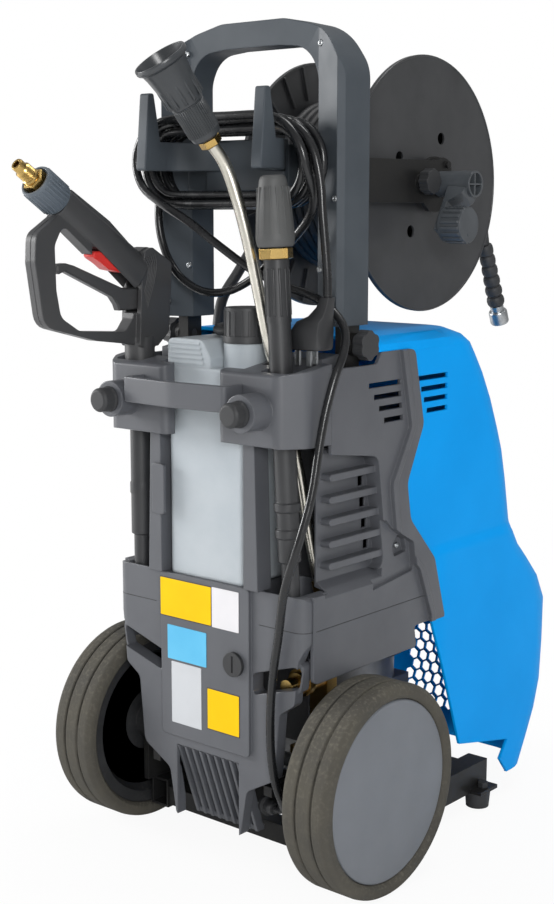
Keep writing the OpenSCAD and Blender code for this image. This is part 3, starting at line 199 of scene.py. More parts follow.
@dataclass(frozen=True)
class Finish:
    """A real material and how its surface was made.

    The base colour drifts towards a second one in soft patches, the roughness drifts with it, and a fine
    grain lifts the surface. A stretch draws the grain out along an axis, as drawing and brushing do. Corners
    look rounded by edge_mm, and specular weakens the gloss of surfaces that scatter most light.
    """

    name: str
    colour: str
    roughness: float
    shade: str = ""
    metallic: float = 0.0
    ior: float = 1.5
    patch_mm: float = 70.0
    spread: float = 0.07
    grain_mm: float = 0.9
    grain_height_mm: float = 0.02
    stretch: tuple[float, float, float] = (1.0, 1.0, 1.0)
    specular: float = 0.5
    edge_mm: float = 1.0
    dust: str = ""
    dust_share: float = 0.0

    def build(self) -> bpy.types.Material:
        """Make the material, or give back the one already made."""
        made = bpy.data.materials.get(self.name)
        if made:
            return made
        material = bpy.data.materials.new(self.name)
        tree = empty_tree(material)
        shader = add(tree, "ShaderNodeBsdfPrincipled", {
            "Metallic": self.metallic, "IOR": self.ior, "Specular IOR Level": self.specular})
        place = add(tree, "ShaderNodeTexCoord").outputs["Object"]
        patches = add(tree, "ShaderNodeTexNoise", {"Scale": fineness(self.patch_mm), **PATCH_NOISE},
                      {"Vector": place}).outputs["Fac"]
        tree.links.new(self.tint(tree, patches, place), shader.inputs["Base Color"])
        rough = add(tree, "ShaderNodeMapRange", {**NOISE_BAND, "To Min": self.roughness - self.spread,
                                                 "To Max": self.roughness + self.spread}, {"Value": patches})
        tree.links.new(rough.outputs[0], shader.inputs["Roughness"])
        edge = add(tree, "ShaderNodeBevel", {"Radius": mm(self.edge_mm)}, samples=CORNER_SAMPLES).outputs[0]
        tree.links.new(self.relief(tree, place, edge), shader.inputs["Normal"])
        self.extras(shader)
        add(tree, "ShaderNodeOutputMaterial", links={"Surface": shader.outputs[0]})
        return material

    def tint(self, tree: bpy.types.NodeTree, patches: bpy.types.NodeSocket,
             place: bpy.types.NodeSocket) -> bpy.types.NodeSocket:
        """Mix the base colour with its shade in patches, and with dust where it lies.

        Args:
            tree: The material's tree.
            patches: Noise of the patches.
            place: Point on the surface.

        Returns:
            The colour.
        """
        ramp = add(tree, "ShaderNodeMapRange", SHADE_BAND, {"Value": patches})
        mix = add(tree, "ShaderNodeMix", {6: linear(self.colour), 7: linear(self.shade or self.colour)},
                  {0: ramp.outputs[0]}, data_type="RGBA")
        if not self.dust:
            return mix.outputs[2]
        normal = add(tree, "ShaderNodeNewGeometry").outputs["Normal"]
        up = add(tree, "ShaderNodeSeparateXYZ", links={0: normal}).outputs["Z"]
        specks = add(tree, "ShaderNodeTexNoise", DUST_NOISE, {"Vector": place})
        settled = add(tree, "ShaderNodeMapRange", DUST_ON_SLOPE, {"Value": up})
        spots = add(tree, "ShaderNodeMapRange", {**DUST_BAND, "To Max": self.dust_share},
                    {"Value": specks.outputs["Fac"]})
        share = add(tree, "ShaderNodeMath", links={0: settled.outputs[0], 1: spots.outputs[0]},
                    operation="MULTIPLY")
        return add(tree, "ShaderNodeMix", {7: linear(self.dust)}, {0: share.outputs[0], 6: mix.outputs[2]},
                   data_type="RGBA").outputs[2]

    def relief(self, tree: bpy.types.NodeTree, place: bpy.types.NodeSocket,
               edge: bpy.types.NodeSocket) -> bpy.types.NodeSocket:
        """Lift the surface by its grain.

        Args:
            tree: The material's tree.
            place: Point on the surface.
            edge: Normal with softened corners.

        Returns:
            The normal.
        """
        drawn = add(tree, "ShaderNodeMapping", {"Scale": tuple(1 / s for s in self.stretch)},
                    {"Vector": place})
        grain = add(tree, "ShaderNodeTexNoise", {"Scale": fineness(self.grain_mm), **GRAIN_NOISE},
                    {"Vector": drawn.outputs[0]})
        return self.bump(tree, grain, self.grain_height_mm, edge)

    @staticmethod
    def bump(tree: bpy.types.NodeTree, noise: bpy.types.Node, height_mm: float,
             normal: bpy.types.NodeSocket) -> bpy.types.NodeSocket:
        """Lift a surface by a noise.

        Args:
            tree: The material's tree.
            noise: Node of the noise.
            height_mm: How far its highest values stand out.
            normal: Normal before the lift.

        Returns:
            The normal.
        """
        return add(tree, "ShaderNodeBump", {"Strength": 1.0, "Distance": mm(height_mm)},
                   {"Height": noise.outputs["Fac"], "Normal": normal}).outputs[0]

    def extras(self, shader: bpy.types.Node) -> None:
        """Set what only some finishes have; a plain one has nothing."""


@dataclass(frozen=True)
class MilkyPlastic(Finish):
    """Blow-moulded polythene that lets light glow through its wall."""

    glow: float = 0.35
    depth_mm: float = 12.0

    def extras(self, shader: bpy.types.Node) -> None:
        """Let light scatter below the surface."""
        shader.inputs["Subsurface Weight"].default_value = self.glow
        shader.inputs["Subsurface Radius"].default_value = (1.0, 1.0, 1.0)
        shader.inputs["Subsurface Scale"].default_value = mm(self.depth_mm)


@dataclass(frozen=True)
class RolledRubber(Finish):
    """Tyre rubber: fine rings round the axle from the mould, broken up by pale scuffs of dust."""

    ring_mm: float = 2.4
    ring_height_mm: float = 0.5
    axle_height_mm: float = 125.0

    def relief(self, tree: bpy.types.NodeTree, place: bpy.types.NodeSocket,
               edge: bpy.types.NodeSocket) -> bpy.types.NodeSocket:
        """Cut rings round the axle into the rubber and roughen them.

        Args:
            tree: The material's tree.
            place: Point on the surface.
            edge: Normal with softened corners.

        Returns:
            The normal.
        """
        axle = (0, -mm(AXLE_SHIFT_MM), -mm(self.axle_height_mm))
        moved = add(tree, "ShaderNodeVectorMath", {1: axle}, {0: place})
        parts = add(tree, "ShaderNodeSeparateXYZ", links={0: moved.outputs[0]}).outputs
        flat = add(tree, "ShaderNodeCombineXYZ", links={1: parts[1], 2: parts[2]})
        radius = add(tree, "ShaderNodeVectorMath", links={0: flat.outputs[0]}, operation="LENGTH")
        ring_place = add(tree, "ShaderNodeCombineXYZ", links={0: parts[0], 1: radius.outputs["Value"]})
        rings = add(tree, "ShaderNodeTexNoise", {"Scale": fineness(self.ring_mm), **RING_NOISE},
                    {"Vector": ring_place.outputs[0]})
        ringed = self.bump(tree, rings, self.ring_height_mm, edge)
        grit = add(tree, "ShaderNodeTexNoise", {"Scale": fineness(self.grain_mm), **GRIT_NOISE},
                   {"Vector": place})
        return self.bump(tree, grit, self.grain_height_mm, ringed)


# Polypropylene, injection moulded in a spark-eroded tool: an even dark grey with a fine matt grain.
BODY_PLASTIC = Finish("pp_grained_dark_grey", "#57595e", 0.4, "#515358", grain_mm=1.1, grain_height_mm=0.035,
                      edge_mm=2.0)
# The same plastic inside, painted darker as shade where less light falls, with real dust that stays there;
# the dark seam lines between mouldings use it too.
SHADE_DUST_SEAM_PLASTIC = Finish("pp_inner_black", "#26272a", 0.55, "#303134", dust="#6d6a63", dust_share=0.25)
# Glass-filled nylon, moulded with a light texture: cooler and a little glossier than the body.
HANDLE_PLASTIC = Finish("nylon_handle_slate", "#474d53", 0.5, "#41474d", grain_mm=0.8, grain_height_mm=0.02,
                        specular=0.25, edge_mm=2.0)
# ABS, moulded in a polished tool: an even satin blue.
HOOD_PLASTIC = Finish("abs_satin_blue", "#009df0", 0.44, "#0098ea", patch_mm=160, spread=0.04, grain_mm=1.6,
                      grain_height_mm=0.012, specular=0.07, edge_mm=2.0)
# High-density polythene, blow moulded: milky, softly glossy, with faint waves.
TANK_PLASTIC = MilkyPlastic("hdpe_milky_tank", "#b4bbc0", 0.4, "#abb3b9", grain_mm=9, grain_height_mm=0.06,
                            specular=0.35, edge_mm=5.0)
# Polypropylene, moulded black, for caps, knobs and sleeves: a soft sheen over a fine grain.
BLACK_PLASTIC = Finish("pp_moulded_black", "#2b2c2e", 0.44, "#333436", grain_mm=0.9, grain_height_mm=0.03)
# Natural rubber, vulcanised in a two-part mould: dull, brownish, with fine rings and pale scuffs.
TYRE_RUBBER = RolledRubber("rubber_rolled_tyre", "#45433e", 0.84, "#514e46", patch_mm=60, dust="#8f8a7c",
                           dust_share=0.3, grain_mm=1.2, grain_height_mm=0.08, specular=0.3, edge_mm=2.0)
# Polypropylene rim, moulded black: matt, with dust inside.
RIM_PLASTIC = Finish("pp_rim_black", "#242527", 0.5, "#2e2f31", dust="#6a675f", dust_share=0.3)
# Polypropylene disc, moulded smooth: an even mid grey with a wide soft sheen.
COVER_PLASTIC = Finish("pp_disc_mid_grey", "#6c7076", 0.44, "#676b71", patch_mm=90, grain_mm=1.2,
                       grain_height_mm=0.025)
# Steel, zinc plated: bright with soft blotches.
ZINC_STEEL = Finish("steel_zinc_plated", "#b9bcbe", 0.34, "#9da1a4", metallic=1.0, patch_mm=9, grain_mm=0.5,
                    grain_height_mm=0.01)
# Steel, powder coated black: slight orange peel.
FRAME_STEEL = Finish("steel_powder_coated_black", "#1c1c1d", 0.34, "#232322", grain_mm=2.2,
                     grain_height_mm=0.05, dust="#77726a", dust_share=0.06, specular=0.22)
# Nylon, moulded dark grey: the crank and its ribbed knob, worn a little shiny by hands.
CRANK_PLASTIC = Finish("nylon_crank_worn_grey", "#414549", 0.32, "#4b4f53", patch_mm=25, grain_mm=0.9,
                       grain_height_mm=0.02, edge_mm=1.5)
# Pressed steel flanges, powder coated in satin black: orange peel and faint handling marks.
REEL_STEEL = Finish("steel_reel_satin_black", "#393a3c", 0.36, "#313234", patch_mm=55, grain_mm=1.6,
                    grain_height_mm=0.05)
# Synthetic rubber, wrapped and steam cured: matt, with the faint print of its wrapping.
HOSE_RUBBER = Finish("rubber_wrapped_hose", "#28292b", 0.55, "#333436", grain_mm=1.4, grain_height_mm=0.08)
# Rubber, moulded soft: dull black that scatters most light.
SOFT_RUBBER = Finish("rubber_moulded_black", "#2a2b2d", 0.6, "#333436", grain_mm=1.0, grain_height_mm=0.05)
# Cast iron motor shell, spray painted: coarse casting skin under black paint, with dust on top.
MOTOR_PAINT = Finish("cast_iron_painted_black", "#222325", 0.5, "#2b2b2c", grain_mm=2.5, grain_height_mm=0.15,
                     dust="#6d6a63", dust_share=0.3)
# Aluminium pump head, sand cast and left raw: pale grey metal with a sandy skin.
PUMP_CAST = Finish("aluminium_sand_cast", "#9a9b9c", 0.55, "#84868a", metallic=1.0, grain_mm=1.2,
                   grain_height_mm=0.12)
# Brass, turned on a lathe: warm, with fine tool rings and a little tarnish.
BRASS = Finish("brass_turned", "#c9ab6b", 0.28, "#b08e50", metallic=1.0, patch_mm=25, spread=0.04,
               grain_mm=0.8, grain_height_mm=0.006, edge_mm=0.5)
# Polycarbonate-ABS, moulded in a polished tool: a clear glossy red.
RED_PLASTIC = Finish("abs_gloss_red", "#dc3833", 0.36, "#cf2f2c", grain_mm=1.5, grain_height_mm=0.01)
# Nylon, moulded grey: bluish beside the black around it, with a dull gloss on its ribs.
COLLAR_PLASTIC = Finish("nylon_collar_grey", "#5c656e", 0.42, "#525b64", grain_mm=0.8, grain_height_mm=0.02,
                        edge_mm=0.6)
# Glass-filled nylon, moulded black: the glass fibres leave it a little grey and matt.
GUN_PLASTIC = Finish("nylon_gun_black", "#3d3e40", 0.42, "#434344", grain_mm=0.9, grain_height_mm=0.04,
                     edge_mm=2.0)
# Nylon, moulded black in a polished tool: crisp highlights.
NOZZLE_PLASTIC = Finish("nylon_nozzle_gloss_black", "#34373a", 0.3, "#3b3e41", patch_mm=30, spread=0.04,
                        grain_mm=1.0, grain_height_mm=0.01, edge_mm=0.6)
# Thermoplastic rubber over the rotary nozzle: neutral grey, matt.
SLEEVE_RUBBER = Finish("tpe_nozzle_sleeve", "#515252", 0.55, "#4a4b4b", grain_mm=0.9, grain_height_mm=0.04)
# Stainless steel tube, drawn and polished along its length: long fine lines and a bright streak.
LANCE_STEEL = Finish("stainless_drawn_tube", "#dedbd1", 0.26, "#c9c5b9", metallic=1.0, patch_mm=35,
                     grain_mm=0.5, grain_height_mm=0.01, stretch=(1, 1, 30))
# Plasticised PVC cable jacket, extruded: black with a soft gloss.
CABLE_PVC = Finish("pvc_cable_jacket", "#151618", 0.26, "#1a1b1d", patch_mm=20, grain_mm=2.0,
                   grain_height_mm=0.02)
# PVC plug, overmoulded: a duller black than the cable.
PLUG_PVC = Finish("pvc_plug_moulded", "#242527", 0.46, "#2c2d2f", grain_mm=1.0, grain_height_mm=0.04)
# Vinyl sheet, bare and calendered smooth: plain plates in flat even colours.
YELLOW_VINYL = Finish("vinyl_yellow_plate", "#f4c400", 0.42, "#efbd00", specular=0.15, grain_mm=3,
                      grain_height_mm=0.004)
WHITE_VINYL = Finish("vinyl_white_plate", "#dfdde0", 0.38, "#d8d7da", grain_mm=3, grain_height_mm=0.004)
CYAN_VINYL = Finish("vinyl_cyan_plate", "#66bce2", 0.42, "#5bb3dc", specular=0.2, grain_mm=3,
                    grain_height_mm=0.004)
# Aluminium foil under a clear film, brushed across: a pale silver plate that hardly mirrors.
SILVER_FOIL = Finish("aluminium_foil_plate", "#c6c9cd", 0.4, "#bec1c5", metallic=0.1, grain_mm=1.5,
                     grain_height_mm=0.01, stretch=(20, 1, 1))


# ---------------------------------------------------------------- mesh work

WELD_M = 1e-6  # corners nearer than this are one
ON_AXIS_MM = 1e-6  # a smaller radius is a point on the axis
REACH_M = 0.3  # how far a point may drop onto a surface
NUT_SIDES = 6


def in_scene(name: str, data: bpy.types.ID) -> bpy.types.Object:
    """Make an object of some data and put it in the scene."""
    piece = bpy.data.objects.new(name, data)
    bpy.context.scene.collection.objects.link(piece)
    return piece


def new_object(name: str, mesh: bpy.types.Mesh, finish: Finish, body: str) -> bpy.types.Object:
    """Put a finished mesh in the scene as a piece.

    Args:
        name: Name of the piece.
        mesh: Mesh in the row frame.
        finish: Its finish.
        body: Body that it rides on.

    Returns:
        The piece.
    """
    piece = in_scene(name, mesh)
    if not mesh.materials:
        mesh.materials.append(finish.build())
    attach(piece, body)
    return piece


def stand_in(name: str, mesh: bpy.types.Mesh, finish: Finish, node: str) -> bpy.types.Object:
    """Put a finished mesh in the place of a CAD node, on its body, and hide the node.

    Args:
        name: Name of the piece.
        mesh: Mesh in the row frame.
        finish: Its finish.
        node: Node that it stands for.

    Returns:
        The piece.
    """
    piece = new_object(name, mesh, finish, body_of_node(node))
    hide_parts(node)
    return piece


def sharpen(mesh: bpy.types.Mesh, degrees: float) -> None:
    """Shade a mesh smooth, except over its sharp edges.

    Args:
        mesh: Mesh to shade.
        degrees: Turn from which an edge is sharp.
    """
    bm = bmesh.new()
    bm.from_mesh(mesh)
    limit = math.radians(degrees)
    for edge in bm.edges:
        edge.smooth = edge.is_manifold and edge.calc_face_angle(0.0) < limit
    for face in bm.faces:
        face.smooth = True
    bm.to_mesh(mesh)
    bm.free()


def mesh_of(bm: bmesh.types.BMesh, name: str, smooth_degrees: float = 0.0) -> bpy.types.Mesh:
    """Keep a bmesh as a mesh and free it.

    Args:
        bm: What was built.
        name: Name of the mesh.
        smooth_degrees: Turn of an edge up to which it is shaded smooth; 0 leaves all faces flat.

    Returns:
        The mesh.
    """
    mesh = bpy.data.meshes.new(name)
    bm.to_mesh(mesh)
    bm.free()
    if smooth_degrees:
        sharpen(mesh, smooth_degrees)
    return mesh


def bake_modifiers(piece: bpy.types.Object) -> bpy.types.Mesh:
    """Take the modifiers off an object.

    Args:
        piece: Mesh or curve object.

    Returns:
        The plain mesh that they made, which the caller puts in its place.
    """
    graph = bpy.context.evaluated_depsgraph_get()
    mesh = bpy.data.meshes.new_from_object(piece.evaluated_get(graph), preserve_all_data_layers=True,
                                           depsgraph=graph)
    piece.modifiers.clear()
    return mesh


def body_of_node(node: str) -> str:
    """Name of the body that a CAD node rides on."""
    return frame["nodes"][node]["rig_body"]


def slot_of_node(node: str) -> str:
    """Name of the record's material slot of a CAD node."""
    return next(s["material_slot"] for s in frame["record"]["subparts"] if s["node"] == node)


@dataclass
class Moulding:
    """A CAD node copied with softened edges, as a moulded, cast or tumbled part has them."""

    node: str
    finish: Finish
    edge_mm: float = 0.0
    rounds: int = 2
    smooth_degrees: float = 32.0
    edge_degrees: float = 34.0
    flat_degrees: float = 0.4

    def build(self) -> bpy.types.Object:
        """Weld a copy of the node, cut its edges off where asked, shade it and let it replace the node."""
        source = frame["nodes"][self.node]
        bm = bmesh.new()
        bm.from_mesh(source.data)
        bmesh.ops.remove_doubles(bm, verts=bm.verts, dist=WELD_M)
        if self.edge_mm > 0:
            bmesh.ops.dissolve_limit(bm, angle_limit=math.radians(self.flat_degrees), verts=bm.verts,
                                     edges=bm.edges)
        self.shape(bm)
        piece = in_scene(self.node + "_dressed", mesh_of(bm, self.node + "_shape"))
        if self.edge_mm > 0:
            bevel = piece.modifiers.new("edge", "BEVEL")
            bevel.width = mm(self.edge_mm)
            bevel.segments = self.rounds
            bevel.limit_method = "ANGLE"
            bevel.angle_limit = math.radians(self.edge_degrees)
            bevel.use_clamp_overlap = False
            bevel.miter_outer = "MITER_ARC"
            piece.data = bake_modifiers(piece)
        sharpen(piece.data, self.smooth_degrees)
        weigh = piece.modifiers.new("flat faces lead", "WEIGHTED_NORMAL")
        weigh.keep_sharp = True
        piece.data = bake_modifiers(piece)
        piece.data.materials.clear()
        piece.data.materials.append(self.finish.build())
        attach(piece, body_of_node(self.node))
        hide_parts(self.node)
        return piece

    def shape(self, bm: bmesh.types.BMesh) -> None:
        """Change the welded mesh; a plain moulding keeps it."""


def dress(finishes: dict[str, Finish], **looks: float) -> None:
    """Dress CAD nodes, all with the same edges and shading.

    Args:
        finishes: Each node and its finish.
        **looks: Fields of Moulding that differ from its own values.
    """
    for node, finish in finishes.items():
        Moulding(node, finish, **looks).build()


@dataclass
class HoodShell(Moulding):
    """The hood, whose sides step out a little under a soft shoulder in front of the rear moulding."""

    swell_mm: float = 4.0
    shoulder_z: tuple[float, float] = (374.0, 358.0)
    start_y: tuple[float, float] = (150.0, 200.0)
    start_x: tuple[float, float] = (60.0, 120.0)
    cuts_z: range = range(356, 377, 3)
    cuts_y: range = range(150, 201, 10)

    def shape(self, bm: bmesh.types.BMesh) -> None:
        """Cut the sides into a grid and push them out."""
        for z in self.cuts_z:
            self.cut(bm, at(0, 0, z), Vector((0, 0, 1)))
        for y in self.cuts_y:
            self.cut(bm, at(0, y, 0), Vector((0, 1, 0)))
        for vert in bm.verts:
            x, y, z = vert.co * MM_PER_METRE
            push = (self.ease(z, self.shoulder_z) * self.ease(y - AXLE_SHIFT_MM, self.start_y)
                    * self.ease(abs(x), self.start_x))
            vert.co.x += math.copysign(mm(self.swell_mm) * push, x)

    @staticmethod
    def cut(bm: bmesh.types.BMesh, place: Vector, normal: Vector) -> None:
        """Cut all faces of a mesh along the plane through a point."""
        bmesh.ops.bisect_plane(bm, geom=bm.verts[:] + bm.edges[:] + bm.faces[:], plane_co=place,
                               plane_no=normal)

    @staticmethod
    def ease(value: float, span: tuple[float, float]) -> float:
        """Rise with a value from 0 at the start of a span to 1 at its end, slowly at both."""
        t = min(max((value - span[0]) / (span[1] - span[0]), 0.0), 1.0)
        return t * t * (3 - 2 * t)


def prism(corners: Sequence[Vector], way: Vector) -> bmesh.types.BMesh:
    """Push a flat outline along a direction into a closed body.

    Args:
        corners: The outline in the row frame.
        way: How far and which way it goes.

    Returns:
        The body, to be kept with mesh_of.
    """
    bm = bmesh.new()
    face = bm.faces.new([bm.verts.new(corner) for corner in corners])
    grown = bmesh.ops.extrude_face_region(bm, geom=[face])["geom"]
    bmesh.ops.translate(bm, vec=way, verts=[v for v in grown if isinstance(v, bmesh.types.BMVert)])
    bmesh.ops.recalc_face_normals(bm, faces=bm.faces)
    return bm


def plate_mesh(outline: Sequence[Point], y0: float, y1: float, name: str,
               smooth_degrees: float = 0.0) -> bpy.types.Mesh:
    """Make a plate from its rear view.

    Args:
        outline: Corners [x, z] in millimetres from the axle.
        y0: Depth of its first face.
        y1: Depth of its other face.
        name: Name of the mesh.
        smooth_degrees: As in mesh_of.

    Returns:
        A closed mesh.
    """
    bm = prism([at(x, y0, z) for x, z in outline], Vector((0, mm(y1 - y0), 0)))
    return mesh_of(bm, name, smooth_degrees)


def rounded_box(x0: float, x1: float, z0: float, z1: float, radius: float,
                steps: int = 4) -> list[tuple[float, float]]:
    """Round the corners of a rectangle in rear view.

    Args:
        x0: Its left side.
        x1: Its right side.
        z0: Its bottom.
        z1: Its top.
        radius: Radius of its corners.
        steps: Straight stretches in each corner.

    Returns:
        Points [x, z] round it.
    """
    out = []
    for cx, cz, start in ((x1 - radius, z1 - radius, 0), (x0 + radius, z1 - radius, 90),
                          (x0 + radius, z0 + radius, 180), (x1 - radius, z0 + radius, 270)):
        for i in range(steps + 1):
            a = math.radians(start + 90 * i / steps)
            out.append((cx + radius * math.cos(a), cz + radius * math.sin(a)))
    return out


def turned_mesh(name: str, base: Vector, direction: Vector, profile: Sequence[Point], sides: int = 32,
                smooth_degrees: float = 35.0) -> bpy.types.Mesh:
    """Turn a profile [radius, height] in millimetres about an axis.

    Args:
        name: Name of the mesh.
        base: Foot of the axis in the row frame.
        direction: Way that the axis points.
        profile: Radii and heights from the foot up.
        sides: Faces round the axis.
        smooth_degrees: As in mesh_of.

    Returns:
        A closed mesh.
    """
    turn = direction.to_track_quat("Z", "Y")
    bm = bmesh.new()
    rings = []
    for radius, height in profile:
        if radius < ON_AXIS_MM:
            rings.append([bm.verts.new(base + turn @ Vector((0, 0, mm(height))))])
            continue
        angles = [math.tau * i / sides for i in range(sides)]
        rings.append([bm.verts.new(base + turn @ Vector((mm(radius) * math.cos(a), mm(radius) * math.sin(a),
                                                         mm(height)))) for a in angles])
    for low, high in zip(rings, rings[1:]):
        for i in range(sides):
            j = (i + 1) % sides
            corners = [low[i % len(low)], low[j % len(low)], high[j % len(high)], high[i % len(high)]]
            bm.faces.new(list(dict.fromkeys(corners)))
    for ring, flip in ((rings[0], True), (rings[-1], False)):
        if len(ring) > 1:
            bm.faces.new(ring[::-1] if flip else ring)
    bmesh.ops.recalc_face_normals(bm, faces=bm.faces)
    return mesh_of(bm, name, smooth_degrees)


def curve_piece(name: str, points: Sequence[Vector], diameter_mm: float, finish: Finish, body: str,
                ring: int = 3) -> bpy.types.Object:
    """Make a round cord as a curve of one open spline.

    Args:
        name: Name of the piece.
        points: Points that it follows, in the row frame.
        diameter_mm: Its thickness.
        finish: Its finish.
        body: Body that it rides on.
        ring: Steps in a quarter of its round section.

    Returns:
        The piece.
    """
    curve = bpy.data.curves.new(name, "CURVE")
    curve.dimensions = "3D"
    curve.bevel_depth = mm(diameter_mm) / 2
    curve.bevel_resolution = ring
    curve.use_fill_caps = True
    spline = curve.splines.new("POLY")
    spline.points.add(len(points) - 1)
    for node, p in zip(spline.points, points):
        node.co = (*p, 1.0)
    spline.use_smooth = True
    curve.materials.append(finish.build())
    piece = in_scene(name, curve)
    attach(piece, body)
    return piece


def rod_piece(name: str, points: Sequence[Vector], diameter_mm: float, finish: Finish, body: str,
              ring: int = 2) -> bpy.types.Object:
    """Make a round rod or bead along a line as a plain mesh.

    Args:
        name: Name of the piece.
        points: Points that it follows, in the row frame.
        diameter_mm: Its thickness.
        finish: Its finish.
        body: Body that it rides on.
        ring: Steps in a quarter of its round section.

    Returns:
        The piece.
    """
    line = curve_piece(name + "_line", points, diameter_mm, finish, body, ring)
    mesh = bake_modifiers(line)
    bpy.data.objects.remove(line)
    return new_object(name, mesh, finish, body)


def on_surface(node: str, start: Point, end: Point, way: Point, steps: int) -> list[Vector]:
    """Drop a straight line of points onto a CAD node.

    Args:
        node: Node that takes the points.
        start: First point, in millimetres from the axle, off the surface.
        end: Last point.
        way: Direction in which the points drop.
        steps: Number of points.

    Returns:
        The points that meet the node, in the row frame.
    """
    bm = bmesh.new()
    bm.from_mesh(frame["nodes"][node].data)
    tree = BVHTree.FromBMesh(bm)
    bm.free()
    line = [at(*start).lerp(at(*end), i / (steps - 1)) for i in range(steps)]
    hits = [tree.ray_cast(point, Vector(way), REACH_M)[0] for point in line]
    return [hit for hit in hits if hit]


# ---------------------------------------------------------------- camera

@dataclass(frozen=True)
class Camera:
    """The view from behind and to the right, at chest height, placed in metres in the row frame."""

    position: tuple[float, float, float] = (1.1610, -1.43775, 0.7839)
    azimuth: float = 40.35
    pitch: float = 9.31
    lens: float = 59.64
    sensor: float = 36.0
    shift: tuple[float, float] = (0.0042, -0.0015)

    def build(self) -> None:
        """Make the camera and set it as the scene's."""
        data = bpy.data.cameras.new("camera")
        data.lens = self.lens
        data.sensor_width = self.sensor
        data.shift_x, data.shift_y = self.shift
        camera = in_scene("camera", data)
        a, p = math.radians(self.azimuth), math.radians(self.pitch)
        look = Vector((-math.sin(a) * math.cos(p), math.cos(a) * math.cos(p), -math.sin(p)))
        camera.location = self.position
        camera.rotation_mode = "QUATERNION"
        camera.rotation_quaternion = look.to_track_quat("-Z", "Y")
        bpy.context.scene.camera = camera


# ---------------------------------------------------------------- cords

@dataclass(frozen=True)
class MainsCable:
    """The mains cable, from its gland up to the coil on the cable hook, round it and down to the plug.

    A loop of the coil is two half circles with a straight between them, each in so many steps. Its layers
    lie a diameter and the gap apart.
    """

    diameter: float = 9.8
    gap: float = 0.6
    lead: tuple = (
        (-125.2, -10.8, 838.6), (-132, -10, 798), (-134, -10, 768), (-129, -10, 742), (-117, -10, 718),
        (-96, -10, 697), (-60, -12, 683), (-20, -14, 684), (20, -15, 700), (56, -16, 726), (90, -18, 752),
        (116, -26, 775), (128, -37, 796), (129, -48, 818), (124, -54, 846), (104, -54, 870), (72, -54, 881),
        (20, -54, 882), (-40, -54, 882), (-84, -54, 879), (-114, -54, 864), (-127, -54, 836),
        (-116, -55, 806), (-84, -56, 786), (-44, -50, 764), (-8, -40, 738), (32, -30, 712), (72, -18, 694),
        (106, -12, 684), (134, -12, 670), (154, -14, 650), (163, -26, 626), (163, -42, 598), (160, -54, 560),
        (158, -63, 520), (157, -74, 470), (150, -88, 418), (134, -92, 366), (119, -84, 310), (110, -83, 262),
        (106, -83, 215), (107, -83, 168), (111, -80, 132), (109, -66, 104), (96, -50, 88), (78, -41, 80))
    plug_lead: tuple = (
        (101, -42, 872), (119, -42, 861), (133, -42, 840), (141, -41, 808), (144, -41, 776),
        (147, -40, 742), (149.5, -39, 708), (149.5, -38, 685))
    lead_steps: int = 4
    loops: float = 6.33
    layers: int = 4
    loop_radius: float = 50.0
    loop_half: float = 76.0
    arc_steps: int = 10
    straight_steps: int = 2
    centre: tuple = (0, -42, 829)
    start_degrees: float = 60.0
    pins: tuple = ((116.15, -47.8, 618.0), (132.15, -47.8, 618.0), (124.15, -27.8, 618.0))
    pin_size: tuple = (6.7, 2.8, 17.2)
    plug_smooth: float = 38.0

    def coil(self, finer: int = 2) -> list[Vector]:
        """Points of the coil: rounded loops in layers, each beside the next.

        Args:
            finer: Points for each step of a loop.

        Returns:
            Points in the row frame, from the plug's end to the machine's end.
        """
        around = 2 * (self.arc_steps + self.straight_steps)
        degrees = 180 / self.arc_steps
        pitch = self.diameter + self.gap
        layer = self.loops / self.layers
        corners = []
        for i in range(round(self.loops * around) + 1):
            t = i / around
            turn = (i + (self.start_degrees + 90) / degrees) / around
            angle, side = self.on_loop(around * (turn - math.floor(turn)), degrees)
            k = min(self.layers - 1, math.floor(t / layer))
            wound = t - k * layer
            radius = self.loop_radius - pitch * (wound if k % 2 == 0 else layer - wound)
            climbed = sum(self.climb(t, n, layer) for n in range(1, self.layers))
            a = math.radians(angle)
            corners.append((self.centre[0] + self.loop_half * side + radius * math.cos(a),
                            self.centre[1] + pitch * climbed, self.centre[2] + radius * math.sin(a)))
        return smooth_route(corners, finer)

    def on_loop(self, step: float, degrees: float) -> tuple[float, float]:
        """Place of a step on a loop.

        Args:
            step: Steps since the loop's lowest point on the right.
            degrees: Turn of one step on a half circle.

        Returns:
            Angle on the half circle, and place across from -1, left, to 1, right.
        """
        arc, middle = self.arc_steps, self.straight_steps / 2
        if step < arc:
            return -90 + degrees * step, 1.0
        if step < arc + 2 * middle:
            return 90.0, (arc + middle - step) / middle
        if step < 2 * (arc + middle):
            return 90 + degrees * (step - arc - 2 * middle), -1.0
        return 270.0, (step - 2 * arc - 3 * middle) / middle

    @staticmethod
    def climb(t: float, layer: int, length: float) -> float:
        """Share of the step into a layer that is done after t loops; the step takes half a loop."""
        u = min(max((t - layer * length) * 2 + 0.5, 0), 1)
        return (1 - math.cos(math.pi * u)) / 2

    def build(self) -> None:
        """Make the cable as one curve, with its plug and gland on it."""
        path = (smooth_route(self.lead, self.lead_steps)[::-1] + self.coil()[::-1]
                + smooth_route(self.plug_lead, self.lead_steps))
        piece = curve_piece("mains_cable", path, self.diameter, CABLE_PVC, CART)
        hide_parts("cable_lead", "cable_coil", "plug_lead")
        plug = Moulding("plug", PLUG_PVC, smooth_degrees=self.plug_smooth).build()
        gland = Moulding("cable_gland", SOFT_RUBBER).build()
        pins = self.bright_pins()

    def bright_pins(self) -> bpy.types.Object:
        """Plate the plug's three pins with bright metal."""
        bm = bmesh.new()
        for pin in self.pins:
            box = bmesh.ops.create_cube(bm, size=1.0)["verts"]
            bmesh.ops.scale(bm, vec=Vector([mm(side) for side in self.pin_size]), verts=box)
            bmesh.ops.translate(bm, vec=at(*pin), verts=box)
        return new_object("plug_pins", mesh_of(bm, "plug_pins"), ZINC_STEEL, CART)


